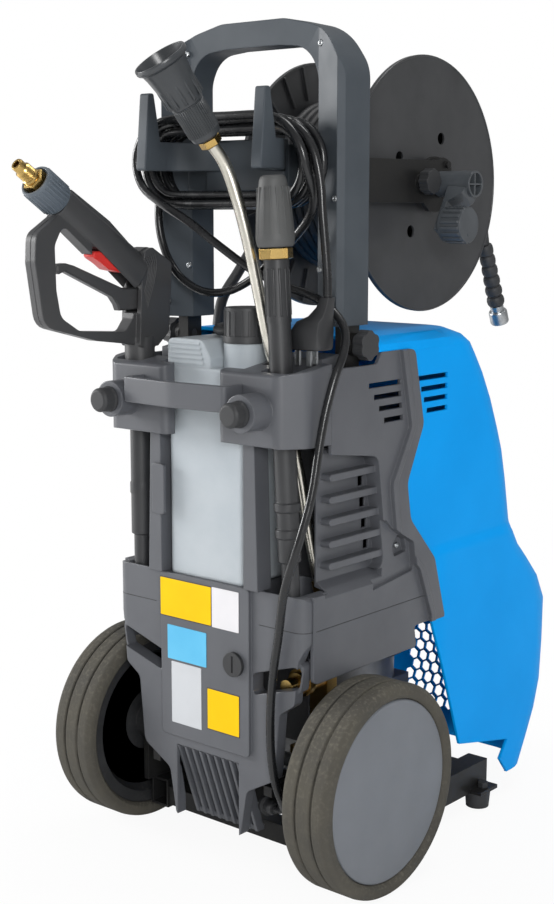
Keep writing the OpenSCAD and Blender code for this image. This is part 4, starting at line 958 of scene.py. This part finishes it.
@dataclass(frozen=True)
class PressureHose:
    """The high-pressure hose: its winding on the reel, and its free end with a bend guard and nut."""

    diameter: float = 12.6
    ring: int = 4
    turns: int = 11
    steps: int = 48
    drum_radius: float = 94.0
    lift: float = 1.1
    reel: tuple = (239, 809)
    reel_width: float = 170.0
    left_gap: float = 7.0
    right_gap: float = 5.0
    tail: tuple = ((73.4, 328, 882), (73.4, 347, 855), (73.4, 364, 823), (73.4, 378, 790), (73.4, 388, 760),
                   (73.4, 395, 732))
    tail_steps: int = 5
    guard_smooth: float = 50.0

    def winding(self) -> list[Vector]:
        """Points of the winding on the drum."""
        radius = self.drum_radius + self.diameter / 2 + self.lift
        pitch = (self.reel_width - self.left_gap - self.right_gap - self.diameter) / self.turns
        x0 = -self.reel_width / 2 + self.left_gap + self.diameter / 2
        return [on_circle(x0 + pitch * i / self.steps, self.reel, radius, i / self.steps)
                for i in range(self.steps * self.turns + 1)]

    def build(self) -> None:
        """Make the winding and the free end."""
        winding = curve_piece("hose_on_reel", self.winding(), self.diameter, HOSE_RUBBER, "reel",
                              self.ring)
        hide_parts("hose_winding")
        path = smooth_route(self.tail, self.tail_steps)
        end = curve_piece("hose_free_end", path, self.diameter, HOSE_RUBBER, CART, self.ring)
        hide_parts("hose_tail")
        guard = Moulding("hose_bend_guard", SOFT_RUBBER, smooth_degrees=self.guard_smooth).build()
        nut = Moulding("hose_nut", ZINC_STEEL).build()


@dataclass(frozen=True)
class FixedHoses:
    """The short hoses that run from one fitting to another."""

    feed: tuple = ((-128, 239, 809), (-146, 238, 806), (-150, 222, 780), (-150, 190, 740), (-146, 150, 700),
                   (-136, 108, 668), (-129, 90, 636), (-128, 88, 600))
    feed_diameter: float = 14.0
    suction: tuple = ((1, -36, 640), (-14, -34, 640), (-30, -18, 641), (-38, 6, 640), (-40, 26, 628),
                      (-40, 34, 606), (-40, 36, 588))
    suction_diameter: float = 11.0
    route_steps: int = 5
    ring: int = 4
    elbow_foot: tuple = (-132, 239, 809)
    elbow: tuple = ((0, 0), (10, 0), (11, 1), (11, 18), (9.5, 19), (9.5, 24.5), (0, 24.5))

    def build(self) -> None:
        """Make both hoses; the feed hose has its turned end on the reel's hub."""
        self.run("feed_hose", self.feed, self.feed_diameter)
        mesh = turned_mesh("feed_hose_elbow", at(*self.elbow_foot), Vector((1, 0, 0)), self.elbow, NUT_SIDES)
        new_object("feed_hose_elbow", mesh, ZINC_STEEL, CART)
        self.run("suction_hose", self.suction, self.suction_diameter)

    def run(self, node: str, route: Sequence[Point], diameter: float) -> None:
        """Replace a hose by a round curve.

        Args:
            node: The hose's node.
            route: Its route in millimetres from the axle.
            diameter: Its thickness.
        """
        hose = curve_piece(node + "_run", smooth_route(route, self.route_steps), diameter, HOSE_RUBBER, CART,
                           self.ring)
        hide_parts(node)


# ---------------------------------------------------------------- repeated details

class RepeatTree:
    """A Geometry Nodes tree that sets copies of a shape at marked points, each turned to its way out."""

    NAME = "copies_at_points"

    @classmethod
    def get(cls) -> bpy.types.NodeTree:
        """Make the tree once."""
        made = bpy.data.node_groups.get(cls.NAME)
        if made:
            return made
        tree = bpy.data.node_groups.new(cls.NAME, "GeometryNodeTree")
        for name, kind in (("Geometry", "NodeSocketGeometry"), ("Shape", "NodeSocketObject"),
                           ("Size", "NodeSocketFloat"), ("Material", "NodeSocketMaterial")):
            tree.interface.new_socket(name, in_out="INPUT", socket_type=kind)
        tree.interface.new_socket("Geometry", in_out="OUTPUT", socket_type="NodeSocketGeometry")
        given = add(tree, "NodeGroupInput").outputs
        shape = add(tree, "GeometryNodeObjectInfo", links={"Object": given["Shape"]})
        ways = [add(tree, "GeometryNodeInputNamedAttribute", {"Name": key},
                    data_type="FLOAT_VECTOR").outputs[0] for key in ("outward", "across")]
        turn = add(tree, "FunctionNodeAxesToRotation", links=dict(enumerate(ways)), primary_axis="Z",
                   secondary_axis="X")
        points = add(tree, "GeometryNodeMeshToPoints", links={"Mesh": given["Geometry"]})
        copies = add(tree, "GeometryNodeInstanceOnPoints", links={
            "Points": points.outputs[0], "Instance": shape.outputs["Geometry"], "Rotation": turn.outputs[0],
            "Scale": given["Size"]})
        real = add(tree, "GeometryNodeRealizeInstances", links={0: copies.outputs[0]})
        painted = add(tree, "GeometryNodeSetMaterial", links={"Geometry": real.outputs[0],
                                                              "Material": given["Material"]})
        add(tree, "NodeGroupOutput", links={0: painted.outputs[0]})
        return tree


@dataclass
class Repeats:
    """Copies of a small shape at points, each with an outward and an across direction."""

    name: str
    shape: bpy.types.Mesh
    spots: list[Spot]
    finish: Finish
    body: str
    slot: str
    size: float = 1.0

    def build(self) -> bpy.types.Object:
        """Run the tree on the marked points and keep its result as a plain mesh."""
        marks = bpy.data.meshes.new(self.name + "_marks")
        marks.from_pydata([tuple(spot[0]) for spot in self.spots], [], [])
        for key, index in (("outward", 1), ("across", 2)):
            layer = marks.attributes.new(key, "FLOAT_VECTOR", "POINT")
            for i, spot in enumerate(self.spots):
                layer.data[i].vector = spot[index]
        stamp = bpy.data.objects.new(self.name + "_stamp", self.shape)
        piece = in_scene(self.name, marks)
        modifier = piece.modifiers.new("copies", "NODES")
        tree = RepeatTree.get()
        modifier.node_group = tree
        given = {"Shape": stamp, "Size": self.size, "Material": self.finish.build()}
        for item in tree.interface.items_tree:
            if item.in_out == "INPUT" and item.name in given:
                modifier[item.identifier] = given[item.name]
        piece.data = bake_modifiers(piece)
        bpy.data.objects.remove(stamp)
        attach(piece, self.body)
        return piece


def bar_mesh(name: str, width: float, height: float, length: float, steps: int = 6,
             smooth_degrees: float = 50.0) -> bpy.types.Mesh:
    """Half-round bar along X that stands on z = 0, for copying.

    Args:
        name: Name of the mesh.
        width: Width of its foot.
        height: How far it stands out.
        length: Length along X.
        steps: Faces over its back.
        smooth_degrees: As in mesh_of.

    Returns:
        A closed mesh with tapered ends.
    """
    ends = ((-0.5, 0.1), (-0.47, 1.0), (0.47, 1.0), (0.5, 0.1))  # share of the length, share of the height
    angles = [math.pi * i / steps for i in range(steps + 1)]
    bm = bmesh.new()
    rings = [[bm.verts.new((mm(length) * x, mm(width) / 2 * math.cos(a), mm(height) * share * math.sin(a)))
              for a in angles] for x, share in ends]
    for low, high in zip(rings, rings[1:]):
        for i in range(steps + 1):
            j = (i + 1) % (steps + 1)
            bm.faces.new((low[i], low[j], high[j], high[i]))
    bm.faces.new(rings[0])
    bm.faces.new(rings[-1])
    bmesh.ops.recalc_face_normals(bm, faces=bm.faces)
    return mesh_of(bm, name, smooth_degrees)


@dataclass(frozen=True)
class RibRing:
    """Half-round ribs that stand in a ring round an axis and lie along it.

    The middles of the ribs are `along` the axis from its foot and `radius` from it.
    """

    name: str
    width: float
    height: float
    length: float
    along: float
    radius: float
    count: int

    def build(self, foot: Point, way: Vector, finish: Finish, node: str) -> None:
        """Stand the ribs on a CAD node.

        Args:
            foot: Foot of the axis in millimetres from the wheels' axle.
            way: Direction of the axis.
            finish: Finish of the ribs.
            node: Node that carries them.
        """
        way = way.normalized()
        turn = way.to_track_quat("Z", "Y")
        angles = [math.tau * i / self.count for i in range(self.count)]
        outs = [turn @ Vector((math.cos(a), math.sin(a), 0)) for a in angles]
        spots = [(at(*foot) + way * mm(self.along) + out * mm(self.radius), out, way) for out in outs]
        rib = bar_mesh(self.name + "_rib", self.width, self.height, self.length)
        Repeats(self.name, rib, spots, finish, body_of_node(node), slot_of_node(node)).build()


@dataclass(frozen=True)
class Screws:
    """Round screw heads with a socket, all on the cart."""

    name: str
    spots: tuple[Spot, ...]
    profile: tuple = ((0, 1.4), (1.6, 1.4), (1.9, 2.6), (3.0, 2.4), (3.9, 1.2), (4.1, 0.0), (0, 0))
    sides: int = 16

    def build(self) -> None:
        """Set the heads at their spots."""
        head = turned_mesh("screw_head", Vector((0, 0, 0)), Vector((0, 0, 1)), self.profile, self.sides)
        Repeats(self.name, head, list(self.spots), ZINC_STEEL, CART, "zinc_steel").build()


# ---------------------------------------------------------------- sub-assemblies

@dataclass(frozen=True)
class Wheels:
    """Two wheels with rubber tyres, black rims and plain discs."""

    tyre_edge: float = 1.5
    tyre_smooth: float = 40.0
    disc_edge: float = 1.0
    rounds: int = 3

    def build(self) -> None:
        """Dress the tyres, rims, discs and axle."""
        for side in Side:
            Moulding(f"tyre_{side.word}", TYRE_RUBBER, self.tyre_edge, self.rounds, self.tyre_smooth).build()
            Moulding(f"rim_{side.word}", RIM_PLASTIC).build()
            Moulding(f"wheel_cover_{side.word}", COVER_PLASTIC, self.disc_edge, self.rounds).build()
        Moulding("axle", ZINC_STEEL).build()


@dataclass(frozen=True)
class Body:
    """The dark grey rear moulding, its shoulders, grille and chassis."""

    walls: tuple = ("rear_panel", "side_wall_left", "side_wall_right", "shoulder_left", "shoulder_right",
                    "grille_fins")
    bar_edge: float = 1.2
    rounds: int = 3
    plates: tuple = (  # name, finish, left, right, bottom and top
        ("plate_yellow_wide", YELLOW_VINYL, (-71, 12.8, 299, 347)),
        ("plate_white", WHITE_VINYL, (13.2, 55, 299, 347)),
        ("plate_cyan", CYAN_VINYL, (-59, 4, 247.5, 289.5)),
        ("plate_silver", SILVER_FOIL, (-53, -4.5, 169, 245)),
        ("plate_yellow_small", YELLOW_VINYL, (4.5, 56, 173, 224)))
    face_y: float = -79.0
    plate_corner: float = 1.0
    plate_depth: float = 0.45
    backing_depth: float = 0.25
    border: float = 1.0
    dial: tuple = (48, 0, 261)
    dial_turn: float = math.pi / 2
    # A dark sheet of painted shade behind the side cut-outs, where only shade shows through: its outline [x,
    # z] and its depths.
    shroud: tuple = ((-120, 130), (54, 130), (54, 249), (-120, 249))
    shroud_y: tuple = (48, 50)
    clip: tuple = (-76, -56, 424, 484)
    clip_y: tuple = (-81.9, -86)
    clip_corner: float = 4.0
    clip_smooth: float = 30.0
    seam_z: float = 313.0
    seam_behind: tuple = (82, 147, -200)  # from and to along X, seen from this depth
    seam_beside: tuple = (-62, 158, 200)  # from and to along Y, seen from this far out
    seam_steps: int = 30
    seam_width: float = 0.9
    screw: tuple = (138.2, 110, 382)

    def build(self) -> None:
        """Dress the mouldings and add the plates, a dark sheet of painted shade, the clip, seams and screws.
        """
        dress({node: BODY_PLASTIC for node in self.walls})
        dress({"hanger_bar": BODY_PLASTIC, "cable_pegs": SOFT_RUBBER}, edge_mm=self.bar_edge,
              rounds=self.rounds)
        # The bay wall is painted darker as shade, with real dust on it.
        dress({"bay_wall": SHADE_DUST_SEAM_PLASTIC, "chassis": FRAME_STEEL, "front_feet": SOFT_RUBBER})
        dial = Moulding("dosing_dial", PLUG_PVC).build()
        middle = Matrix.Translation(at(*self.dial))
        dial.data.transform(middle @ Matrix.Rotation(self.dial_turn, 4, "Y") @ middle.inverted())
        self.bare_plates()
        # A dark sheet stands behind the side cut-outs as painted shade.
        shroud = plate_mesh(self.shroud, *self.shroud_y, "inner_shroud")
        new_object("inner_shroud", shroud, SHADE_DUST_SEAM_PLASTIC, CART)
        clip = plate_mesh(rounded_box(*self.clip, self.clip_corner), *self.clip_y, "tank_clip",
                          self.clip_smooth)
        new_object("tank_clip", clip, BODY_PLASTIC, CART)
        for side in Side:
            rod_piece(f"seam_{side.word}", self.seam(side), self.seam_width, SHADE_DUST_SEAM_PLASTIC, CART)
        x, y, z = self.screw
        Screws("side_wall_screws", tuple((at(side.value * x, y, z), Vector((side.value, 0, 0)),
                                          Vector((0, 1, 0))) for side in Side)).build()

    def bare_plates(self) -> None:
        """Lay the plates on the middle panel, the yellow ones on a black backing."""
        for name, finish, (x0, x1, z0, z1) in self.plates:
            if finish is YELLOW_VINYL:
                self.plate(name + "_edge", (x0, x1, z0, z1), self.backing_depth, BLACK_PLASTIC)
                x0, x1, z0, z1 = x0 + self.border, x1 - self.border, z0 + self.border, z1 - self.border
            self.plate(name, (x0, x1, z0, z1), self.plate_depth, finish)

    def plate(self, name: str, box: Point, depth: float, finish: Finish) -> None:
        """Lay one thin plate on the panel's face.

        Args:
            name: Name of the plate.
            box: Its left and right side, bottom and top.
            depth: How far it stands out.
            finish: Its finish.
        """
        outline = rounded_box(*box, self.plate_corner)
        new_object(name, plate_mesh(outline, self.face_y, self.face_y - depth, name), finish, CART)

    def seam(self, side: Side) -> list[Vector]:
        """Lay the seam on the mouldings of one side.

        Args:
            side: The cart's side.

        Returns:
            Points across the back and then along the side wall.
        """
        s, z = side.value, self.seam_z
        x0, x1, behind = self.seam_behind
        y0, y1, beside = self.seam_beside
        return (on_surface("rear_panel", (s * x0, behind, z), (s * x1, behind, z), (0, 1, 0), self.seam_steps)
                + on_surface(f"side_wall_{side.word}", (s * beside, y0, z), (s * beside, y1, z), (-s, 0, 0),
                             self.seam_steps))


@dataclass(frozen=True)
class Tank:
    """The milky detergent tank and its cap."""

    smooth_degrees: float = 40.0

    def build(self) -> None:
        """Dress the tank and cap."""
        Moulding("tank", TANK_PLASTIC, smooth_degrees=self.smooth_degrees).build()
        Moulding("tank_cap", BLACK_PLASTIC).build()


@dataclass(frozen=True)
class Hood:
    """The blue hood over the motor and pump."""

    smooth_degrees: float = 38.0

    def build(self) -> None:
        """Dress the hood and what it covers."""
        HoodShell("hood", HOOD_PLASTIC, smooth_degrees=self.smooth_degrees).build()
        # The fan cover is painted darker as shade, with real dust on it.
        dress({"main_switch": BLACK_PLASTIC, "motor": MOTOR_PAINT, "fan_cover": SHADE_DUST_SEAM_PLASTIC,
               "pump": PUMP_CAST, "water_inlet": BRASS})


@dataclass(frozen=True)
class Handle:
    """The push handle with its clamp knobs, and the cable hook between its uprights."""

    smooth_degrees: float = 25.0
    hook_edge: float = 1.2
    rounds: int = 3
    screws: tuple = ((101.5, 9.2, 960.2), (101.5, 9.2, 712.0), (130.5, -1.4, 791.0), (127.6, -0.4, 668.0))

    def build(self) -> None:
        """Dress the handle, tongues, knobs and hook, and set the screws on both sides."""
        Moulding("handle", HANDLE_PLASTIC, smooth_degrees=self.smooth_degrees).build()
        dress({"handle_brackets": FRAME_STEEL, "clamp_knob_left": BLACK_PLASTIC,
               "clamp_knob_right": BLACK_PLASTIC})
        Moulding("cable_hook", HANDLE_PLASTIC, self.hook_edge, self.rounds).build()
        Screws("handle_screws", tuple((at(side.value * x, y, z), Vector((0, -1, 0)), Vector((1, 0, 0)))
                                      for side in Side for x, y, z in self.screws)).build()


@dataclass(frozen=True)
class Reel:
    """The hose reel between its two arms."""

    centre: tuple = (239, 809)
    flange_x: float = 84.6
    rim_radius: float = 154.9
    rim_steps: int = 96
    rim_width: float = 3.0

    def build(self) -> None:
        """Dress the arms, flanges, crank and knobs, and roll the flanges' rims."""
        dress({"reel_arms": FRAME_STEEL, "reel_flanges": REEL_STEEL, "reel_shaft": FRAME_STEEL,
               "reel_crank": CRANK_PLASTIC, "crank_knob": CRANK_PLASTIC, "reel_lock_knob": BLACK_PLASTIC})
        for side in Side:
            ring = [on_circle(side.value * self.flange_x, self.centre, self.rim_radius, i / self.rim_steps)
                    for i in range(self.rim_steps + 1)]
            rod_piece(f"flange_rim_{side.word}", ring, self.rim_width, REEL_STEEL,
                      body_of_node("reel_flanges"))


@dataclass(frozen=True)
class SprayTools:
    """The gun, the turbo lance and the bent lance.

    A nut is its place along an axis, its height and its radius. A profile is radii and heights round an axis.
    """

    bend: tuple = ((112, -4, 356), (104, -14, 420), (97, -21, 480), (90, -30, 530), (84, -38, 578),
                   (76, -49, 628), (69, -60, 690), (62, -71, 750), (53, -81, 800), (46, -89, 828),
                   (40, -102, 848))
    bend_steps: int = 8
    lance_diameter: float = 14.0
    lance_ring: int = 6
    lance_nut: tuple = (0.0, 9.5, 12.5)
    foot_way: tuple = (0.14, 0.17, -0.97)
    foot_profile: tuple = ((0, 0), (9, 0), (9, 14), (7, 16), (7, 26.8), (0, 26.8))
    nozzle_way: tuple = (-0.17, -0.556, 0.81)
    nozzle_gap: float = 10.3
    cup_profile: tuple = (
        (0, 22), (8.1, 22), (8.1, 0), (14, 0), (16.5, 2), (17.4, 6), (17.4, 42), (18.8, 43), (19.6, 46),
        (21.6, 64), (24.6, 84), (26.4, 91), (29.8, 93.5), (30.6, 95), (30.6, 98.4), (29.8, 100), (28.2, 100),
        (26, 94), (24, 86), (20, 68), (12, 57), (0, 54))
    cup_sides: int = 48
    knurls: RibRing = RibRing("multi_nozzle_knurls", 1.7, 1.5, 34, 24.5, 17.1, 40)
    flutes: RibRing = RibRing("multi_nozzle_flutes", 3.6, 1.6, 38, 65, 20.9, 12)
    turbo_top: tuple = (98, -70, 816)
    turbo_foot: tuple = (119.5, -61, 328.8)
    turbo_nut: tuple = (77.5, 13.0, 19.0)
    sleeve_ribs: RibRing = RibRing("turbo_sleeve_ribs", 3.0, 1.0, 52, 126, 13.9, 12)
    collar_at: tuple = (-118, -185, 788)
    collar_way: tuple = (0, -0.826, 0.563)
    collar_profile: tuple = ((7.6, 0.6), (18, 0.6), (19.2, 2.5), (19.8, 32), (19.8, 38), (18.6, 40),
                             (16.6, 40), (15.8, 30), (7.6, 30))
    collar_sides: int = 48
    collar_ribs: RibRing = RibRing("gun_collar_ribs", 2.6, 1.6, 34, 20, 19.2, 26)
    nipple_foot: tuple = ((0, -1), (7, -1), (7, 44), (10.2, 45), (10.2, 48.5), (8.6, 49.6))
    nipple_top: tuple = ((8.2, 62), (7.4, 63), (7.4, 69.5), (6.6, 71), (4.4, 71), (4.2, 58), (0, 58))
    nipple_sides: int = 40
    thread: tuple = (8.6, 0.9, 50.5, 13)  # root radius, depth and half pitch, first height, corners
    nipple_nut: tuple = (32.0, 13.0, 14.0)
    gun_x: float = -118.0
    gun_smooth: float = 40.0
    trigger: tuple = ((-193, 717), (-193.5, 710), (-190, 707.5), (-182, 710.5), (-108.7, 678.5), (-101, 669),
                      (-98, 662), (-60, 662), (-57, 668), (-57, 684), (-62, 688), (-92, 688), (-168, 716.5),
                      (-180, 719.5), (-190, 719))
    trigger_half: float = 5.5
    latch: tuple = ((-142, 726.5), (-139, 731), (-131, 732), (-86, 713), (-84, 705), (-96, 706.5),
                    (-117, 710.5), (-127, 717.5), (-138, 723.5))
    latch_half: float = 9.0
    lever_round: float = 1.2
    lever_rounds: int = 3
    lever_rim_angle: float = 1.3  # radians that a lever's rim turns at least
    lever_smooth: float = 45.0
    split_z: tuple = (640, 768)
    split_from_y: float = -300.0
    split_steps: int = 32
    split_width: float = 0.8
    head_half: float = 16.0
    ridge_first: tuple = ((-67, 722), (-61, 713), (-62, 700), (-68, 682))
    ridge_last: tuple = ((-50, 728), (-47, 714), (-52, 692), (-63, 664))
    ridges: int = 6
    ridge_steps: int = 6
    ridge_width: float = 1.5

    def build(self) -> None:
        """Dress the gun and both lances."""
        dress({"gun_body": GUN_PLASTIC, "gun_lance": BLACK_PLASTIC, "turbo_nozzle": SLEEVE_RUBBER,
               "turbo_lance": BLACK_PLASTIC}, smooth_degrees=self.gun_smooth)
        self.lever("gun_trigger", self.trigger, self.trigger_half, GUN_PLASTIC)
        self.lever("gun_latch", self.latch, self.latch_half, RED_PLASTIC)
        self.gun_inlet()
        low, high = ((self.gun_x, self.split_from_y, z) for z in self.split_z)
        split = on_surface("gun_body", low, high, (0, 1, 0), self.split_steps)
        rod_piece("gun_guard_split", split, self.split_width, SHADE_DUST_SEAM_PLASTIC, body_of_node("gun_body"))
        self.head_ridges()
        self.bent_lance()
        turbo_way = Vector(self.turbo_foot) - Vector(self.turbo_top)
        self.brass_nut("turbo_nut", self.turbo_top, turbo_way, self.turbo_nut, CART)
        self.multi_nozzle()
        self.collar_ribs.build(self.collar_at, Vector(self.collar_way), COLLAR_PLASTIC, "gun_collar")
        self.sleeve_ribs.build(self.turbo_top, turbo_way, BLACK_PLASTIC, "turbo_lance")

    def lever(self, node: str, outline: Sequence[Point], half: float, finish: Finish) -> None:
        """Replace a lever of the gun by a plate with rounded edges.

        Args:
            node: The lever's node.
            outline: Its side view [y, z].
            half: Half of its thickness.
            finish: Its finish.
        """
        bm = prism([at(self.gun_x - half, y, z) for y, z in outline], Vector((mm(2 * half), 0, 0)))
        rims = [e for e in bm.edges if e.calc_face_angle(0.0) > self.lever_rim_angle]
        bmesh.ops.bevel(bm, geom=rims, offset=mm(self.lever_round), segments=self.lever_rounds,
                        affect="EDGES", clamp_overlap=True)
        stand_in(node + "_slab", mesh_of(bm, node + "_slab", self.lever_smooth), finish, node)

    def gun_inlet(self) -> None:
        """Turn the gun's open collar and the brass screw nipple that stands out of it."""
        way, foot = Vector(self.collar_way), at(*self.collar_at)
        collar = turned_mesh("gun_collar_cup", foot, way, self.collar_profile, self.collar_sides)
        stand_in("gun_collar_cup", collar, COLLAR_PLASTIC, "gun_collar")
        root, step, start, count = self.thread
        threads = [(root + step * (i % 2), start + i * step) for i in range(count)]
        profile = [*self.nipple_foot, *threads, *self.nipple_top]
        nipple = turned_mesh("gun_nipple_screw", foot, way, profile, self.nipple_sides)
        stand_in("gun_nipple_screw", nipple, BRASS, "gun_nipple")
        self.brass_nut("gun_nipple_nut", self.collar_at, way, self.nipple_nut, body_of_node("gun_nipple"))

    def head_ridges(self) -> None:
        """Stand curved grip ridges on both sides of the gun's head."""
        for side in Side:
            x = self.gun_x + side.value * self.head_half
            for i in range(self.ridges):
                share = i / (self.ridges - 1)
                route = [(x, y0 + (y1 - y0) * share, z0 + (z1 - z0) * share)
                         for (y0, z0), (y1, z1) in zip(self.ridge_first, self.ridge_last)]
                rod_piece(f"gun_head_ridge_{side.word}_{i}", smooth_route(route, self.ridge_steps),
                          self.ridge_width, GUN_PLASTIC, body_of_node("gun_body"))

    def multi_nozzle(self) -> None:
        """Turn the nozzle's flared cup over its knurled grip."""
        way = Vector(self.nozzle_way)
        start = Vector(self.bend[-1]) + way.normalized() * self.nozzle_gap
        cup = turned_mesh("multi_nozzle_cup", at(*start), way, self.cup_profile, self.cup_sides)
        stand_in("multi_nozzle_cup", cup, NOZZLE_PLASTIC, "multi_nozzle")
        for ribs in (self.knurls, self.flutes):
            ribs.build(start, way, NOZZLE_PLASTIC, "multi_nozzle")

    def bent_lance(self) -> None:
        """Draw the bent tube with its brass ends."""
        piece = rod_piece("bent_lance_tube", smooth_route(self.bend, self.bend_steps), self.lance_diameter,
                          LANCE_STEEL, CART, self.lance_ring)
        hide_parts("bent_lance")
        self.brass_nut("lance_nut", self.bend[-1], Vector(self.nozzle_way), self.lance_nut, CART)
        foot = turned_mesh("lance_foot", at(*self.bend[0]), Vector(self.foot_way), self.foot_profile)
        new_object("lance_foot", foot, BRASS, CART)

    @staticmethod
    def brass_nut(name: str, start: Point, way: Vector, nut: Point, body: str, rim_share: float = 0.12,
                  chamfer: float = 1.2) -> None:
        """Set a six-sided brass nut round a line.

        Args:
            name: Name of the piece.
            start: Start of the line in millimetres from the axle.
            way: Direction of the line.
            nut: Its place along the line, its height and its radius.
            body: Body that it rides on.
            rim_share: Share of the radius that its chamfers take.
            chamfer: Height of a chamfer.
        """
        low, height, radius = nut
        rim = radius - rim_share * radius
        way = way.normalized()
        mesh = turned_mesh(name, at(*start) + way * mm(low), way, [
            (rim, 0), (radius, chamfer), (radius, height - chamfer), (rim, height)], NUT_SIDES)
        new_object(name, mesh, BRASS, body)


# ---------------------------------------------------------------- studio

@dataclass(frozen=True)
class Studio:
    """Pale floor, soft lamps and an even world, in metres."""

    floor_half: float = 6.0
    floor_colour: str = "#f4f4f4"
    floor_white: float = 0.93
    white_from: float = 0.35
    white_to: float = 0.8
    world_light: float = 0.4
    lamps: tuple = (  # name, place, width and power in watts
        ("lamp_key", (3.2, -3.0, 1.7), 1.2, 100),
        ("lamp_left", (-3.7, -1.7, 1.5), 1.6, 150),
        ("lamp_top", (0.4, 0.8, 4.2), 1.6, 50))
    lamp_aim: tuple = (0, 0, 0.5)

    def build(self) -> None:
        """Make the floor, world and lamps."""
        self.make_floor()
        self.make_world()
        for name, place, size, power in self.lamps:
            self.lamp(name, place, size, power)
        bpy.context.scene.view_settings.view_transform = "Standard"

    def make_floor(self) -> None:
        """Make a wide white floor that keeps the cart's shadow."""
        mesh = bpy.data.meshes.new("floor")
        h = self.floor_half
        mesh.from_pydata([(-h, -h, 0), (h, -h, 0), (h, h, 0), (-h, h, 0)], [], [(0, 1, 2, 3)])
        material = bpy.data.materials.new("matt_white_floor")
        tree = empty_tree(material)
        paint = add(tree, "ShaderNodeBsdfDiffuse", {"Color": linear(self.floor_colour)})
        glow = add(tree, "ShaderNodeEmission", {"Color": (1, 1, 1, 1), "Strength": 1.0})
        ray = add(tree, "ShaderNodeLightPath").outputs
        place = add(tree, "ShaderNodeTexCoord").outputs["Object"]
        away = add(tree, "ShaderNodeVectorMath", links={0: place}, operation="LENGTH")
        band = {"From Min": self.white_from, "From Max": self.white_to, "To Min": self.floor_white,
                "To Max": 1.0}
        share = add(tree, "ShaderNodeMapRange", band, {"Value": away.outputs["Value"]},
                    interpolation_type="SMOOTHSTEP")
        seen = add(tree, "ShaderNodeMath", links={0: ray["Is Camera Ray"], 1: share.outputs[0]},
                   operation="MULTIPLY")
        mix = add(tree, "ShaderNodeMixShader", links={0: seen.outputs[0], 1: paint.outputs[0],
                                                      2: glow.outputs[0]})
        add(tree, "ShaderNodeOutputMaterial", links={0: mix.outputs[0]})
        mesh.materials.append(material)
        in_scene("floor", mesh)

    def make_world(self) -> None:
        """Light evenly from all round, and look white to the camera and through clear things."""
        world = bpy.data.worlds.new("studio")
        bpy.context.scene.world = world
        tree = empty_tree(world)
        ray = add(tree, "ShaderNodeLightPath").outputs
        seen = add(tree, "ShaderNodeMath", links={0: ray["Is Camera Ray"], 1: ray["Is Transmission Ray"]},
                   operation="MAXIMUM")
        level = add(tree, "ShaderNodeMapRange", {"To Min": self.world_light, "To Max": 1.0},
                    {"Value": seen.outputs[0]})
        glow = add(tree, "ShaderNodeBackground", {"Color": (1, 1, 1, 1)}, {"Strength": level.outputs[0]})
        add(tree, "ShaderNodeOutputWorld", links={0: glow.outputs[0]})

    def lamp(self, name: str, place: Point, size: float, power: float) -> None:
        """Add a square lamp that faces the middle of the cart.

        Args:
            name: Name of the lamp.
            place: Where it stands.
            size: Its width.
            power: Its power in watts.
        """
        data = bpy.data.lights.new(name, "AREA")
        data.size = size
        data.energy = power
        lamp = in_scene(name, data)
        lamp.location = place
        lamp.rotation_mode = "QUATERNION"
        lamp.rotation_quaternion = (Vector(self.lamp_aim) - Vector(place)).to_track_quat("-Z", "Y")


def main() -> None:
    """Build the scene's classes in order and report the pieces of each."""
    logging.basicConfig(level=logging.INFO, format="%(name)s: %(message)s")
    steps: Iterable = (Camera(), MainsCable(), PressureHose(), FixedHoses(), Wheels(), Body(), Tank(), Hood(),
                       Handle(), Reel(), SprayTools(), Studio())
    known = set(bpy.context.scene.objects.keys())
    for step in steps:
        step.build()
        made = [name for name in bpy.context.scene.objects.keys() if name not in known]
        known.update(made)
        for name in made:
            log.info("%s: %s", type(step).__name__, name)


if __name__ == "__main__":
    main()
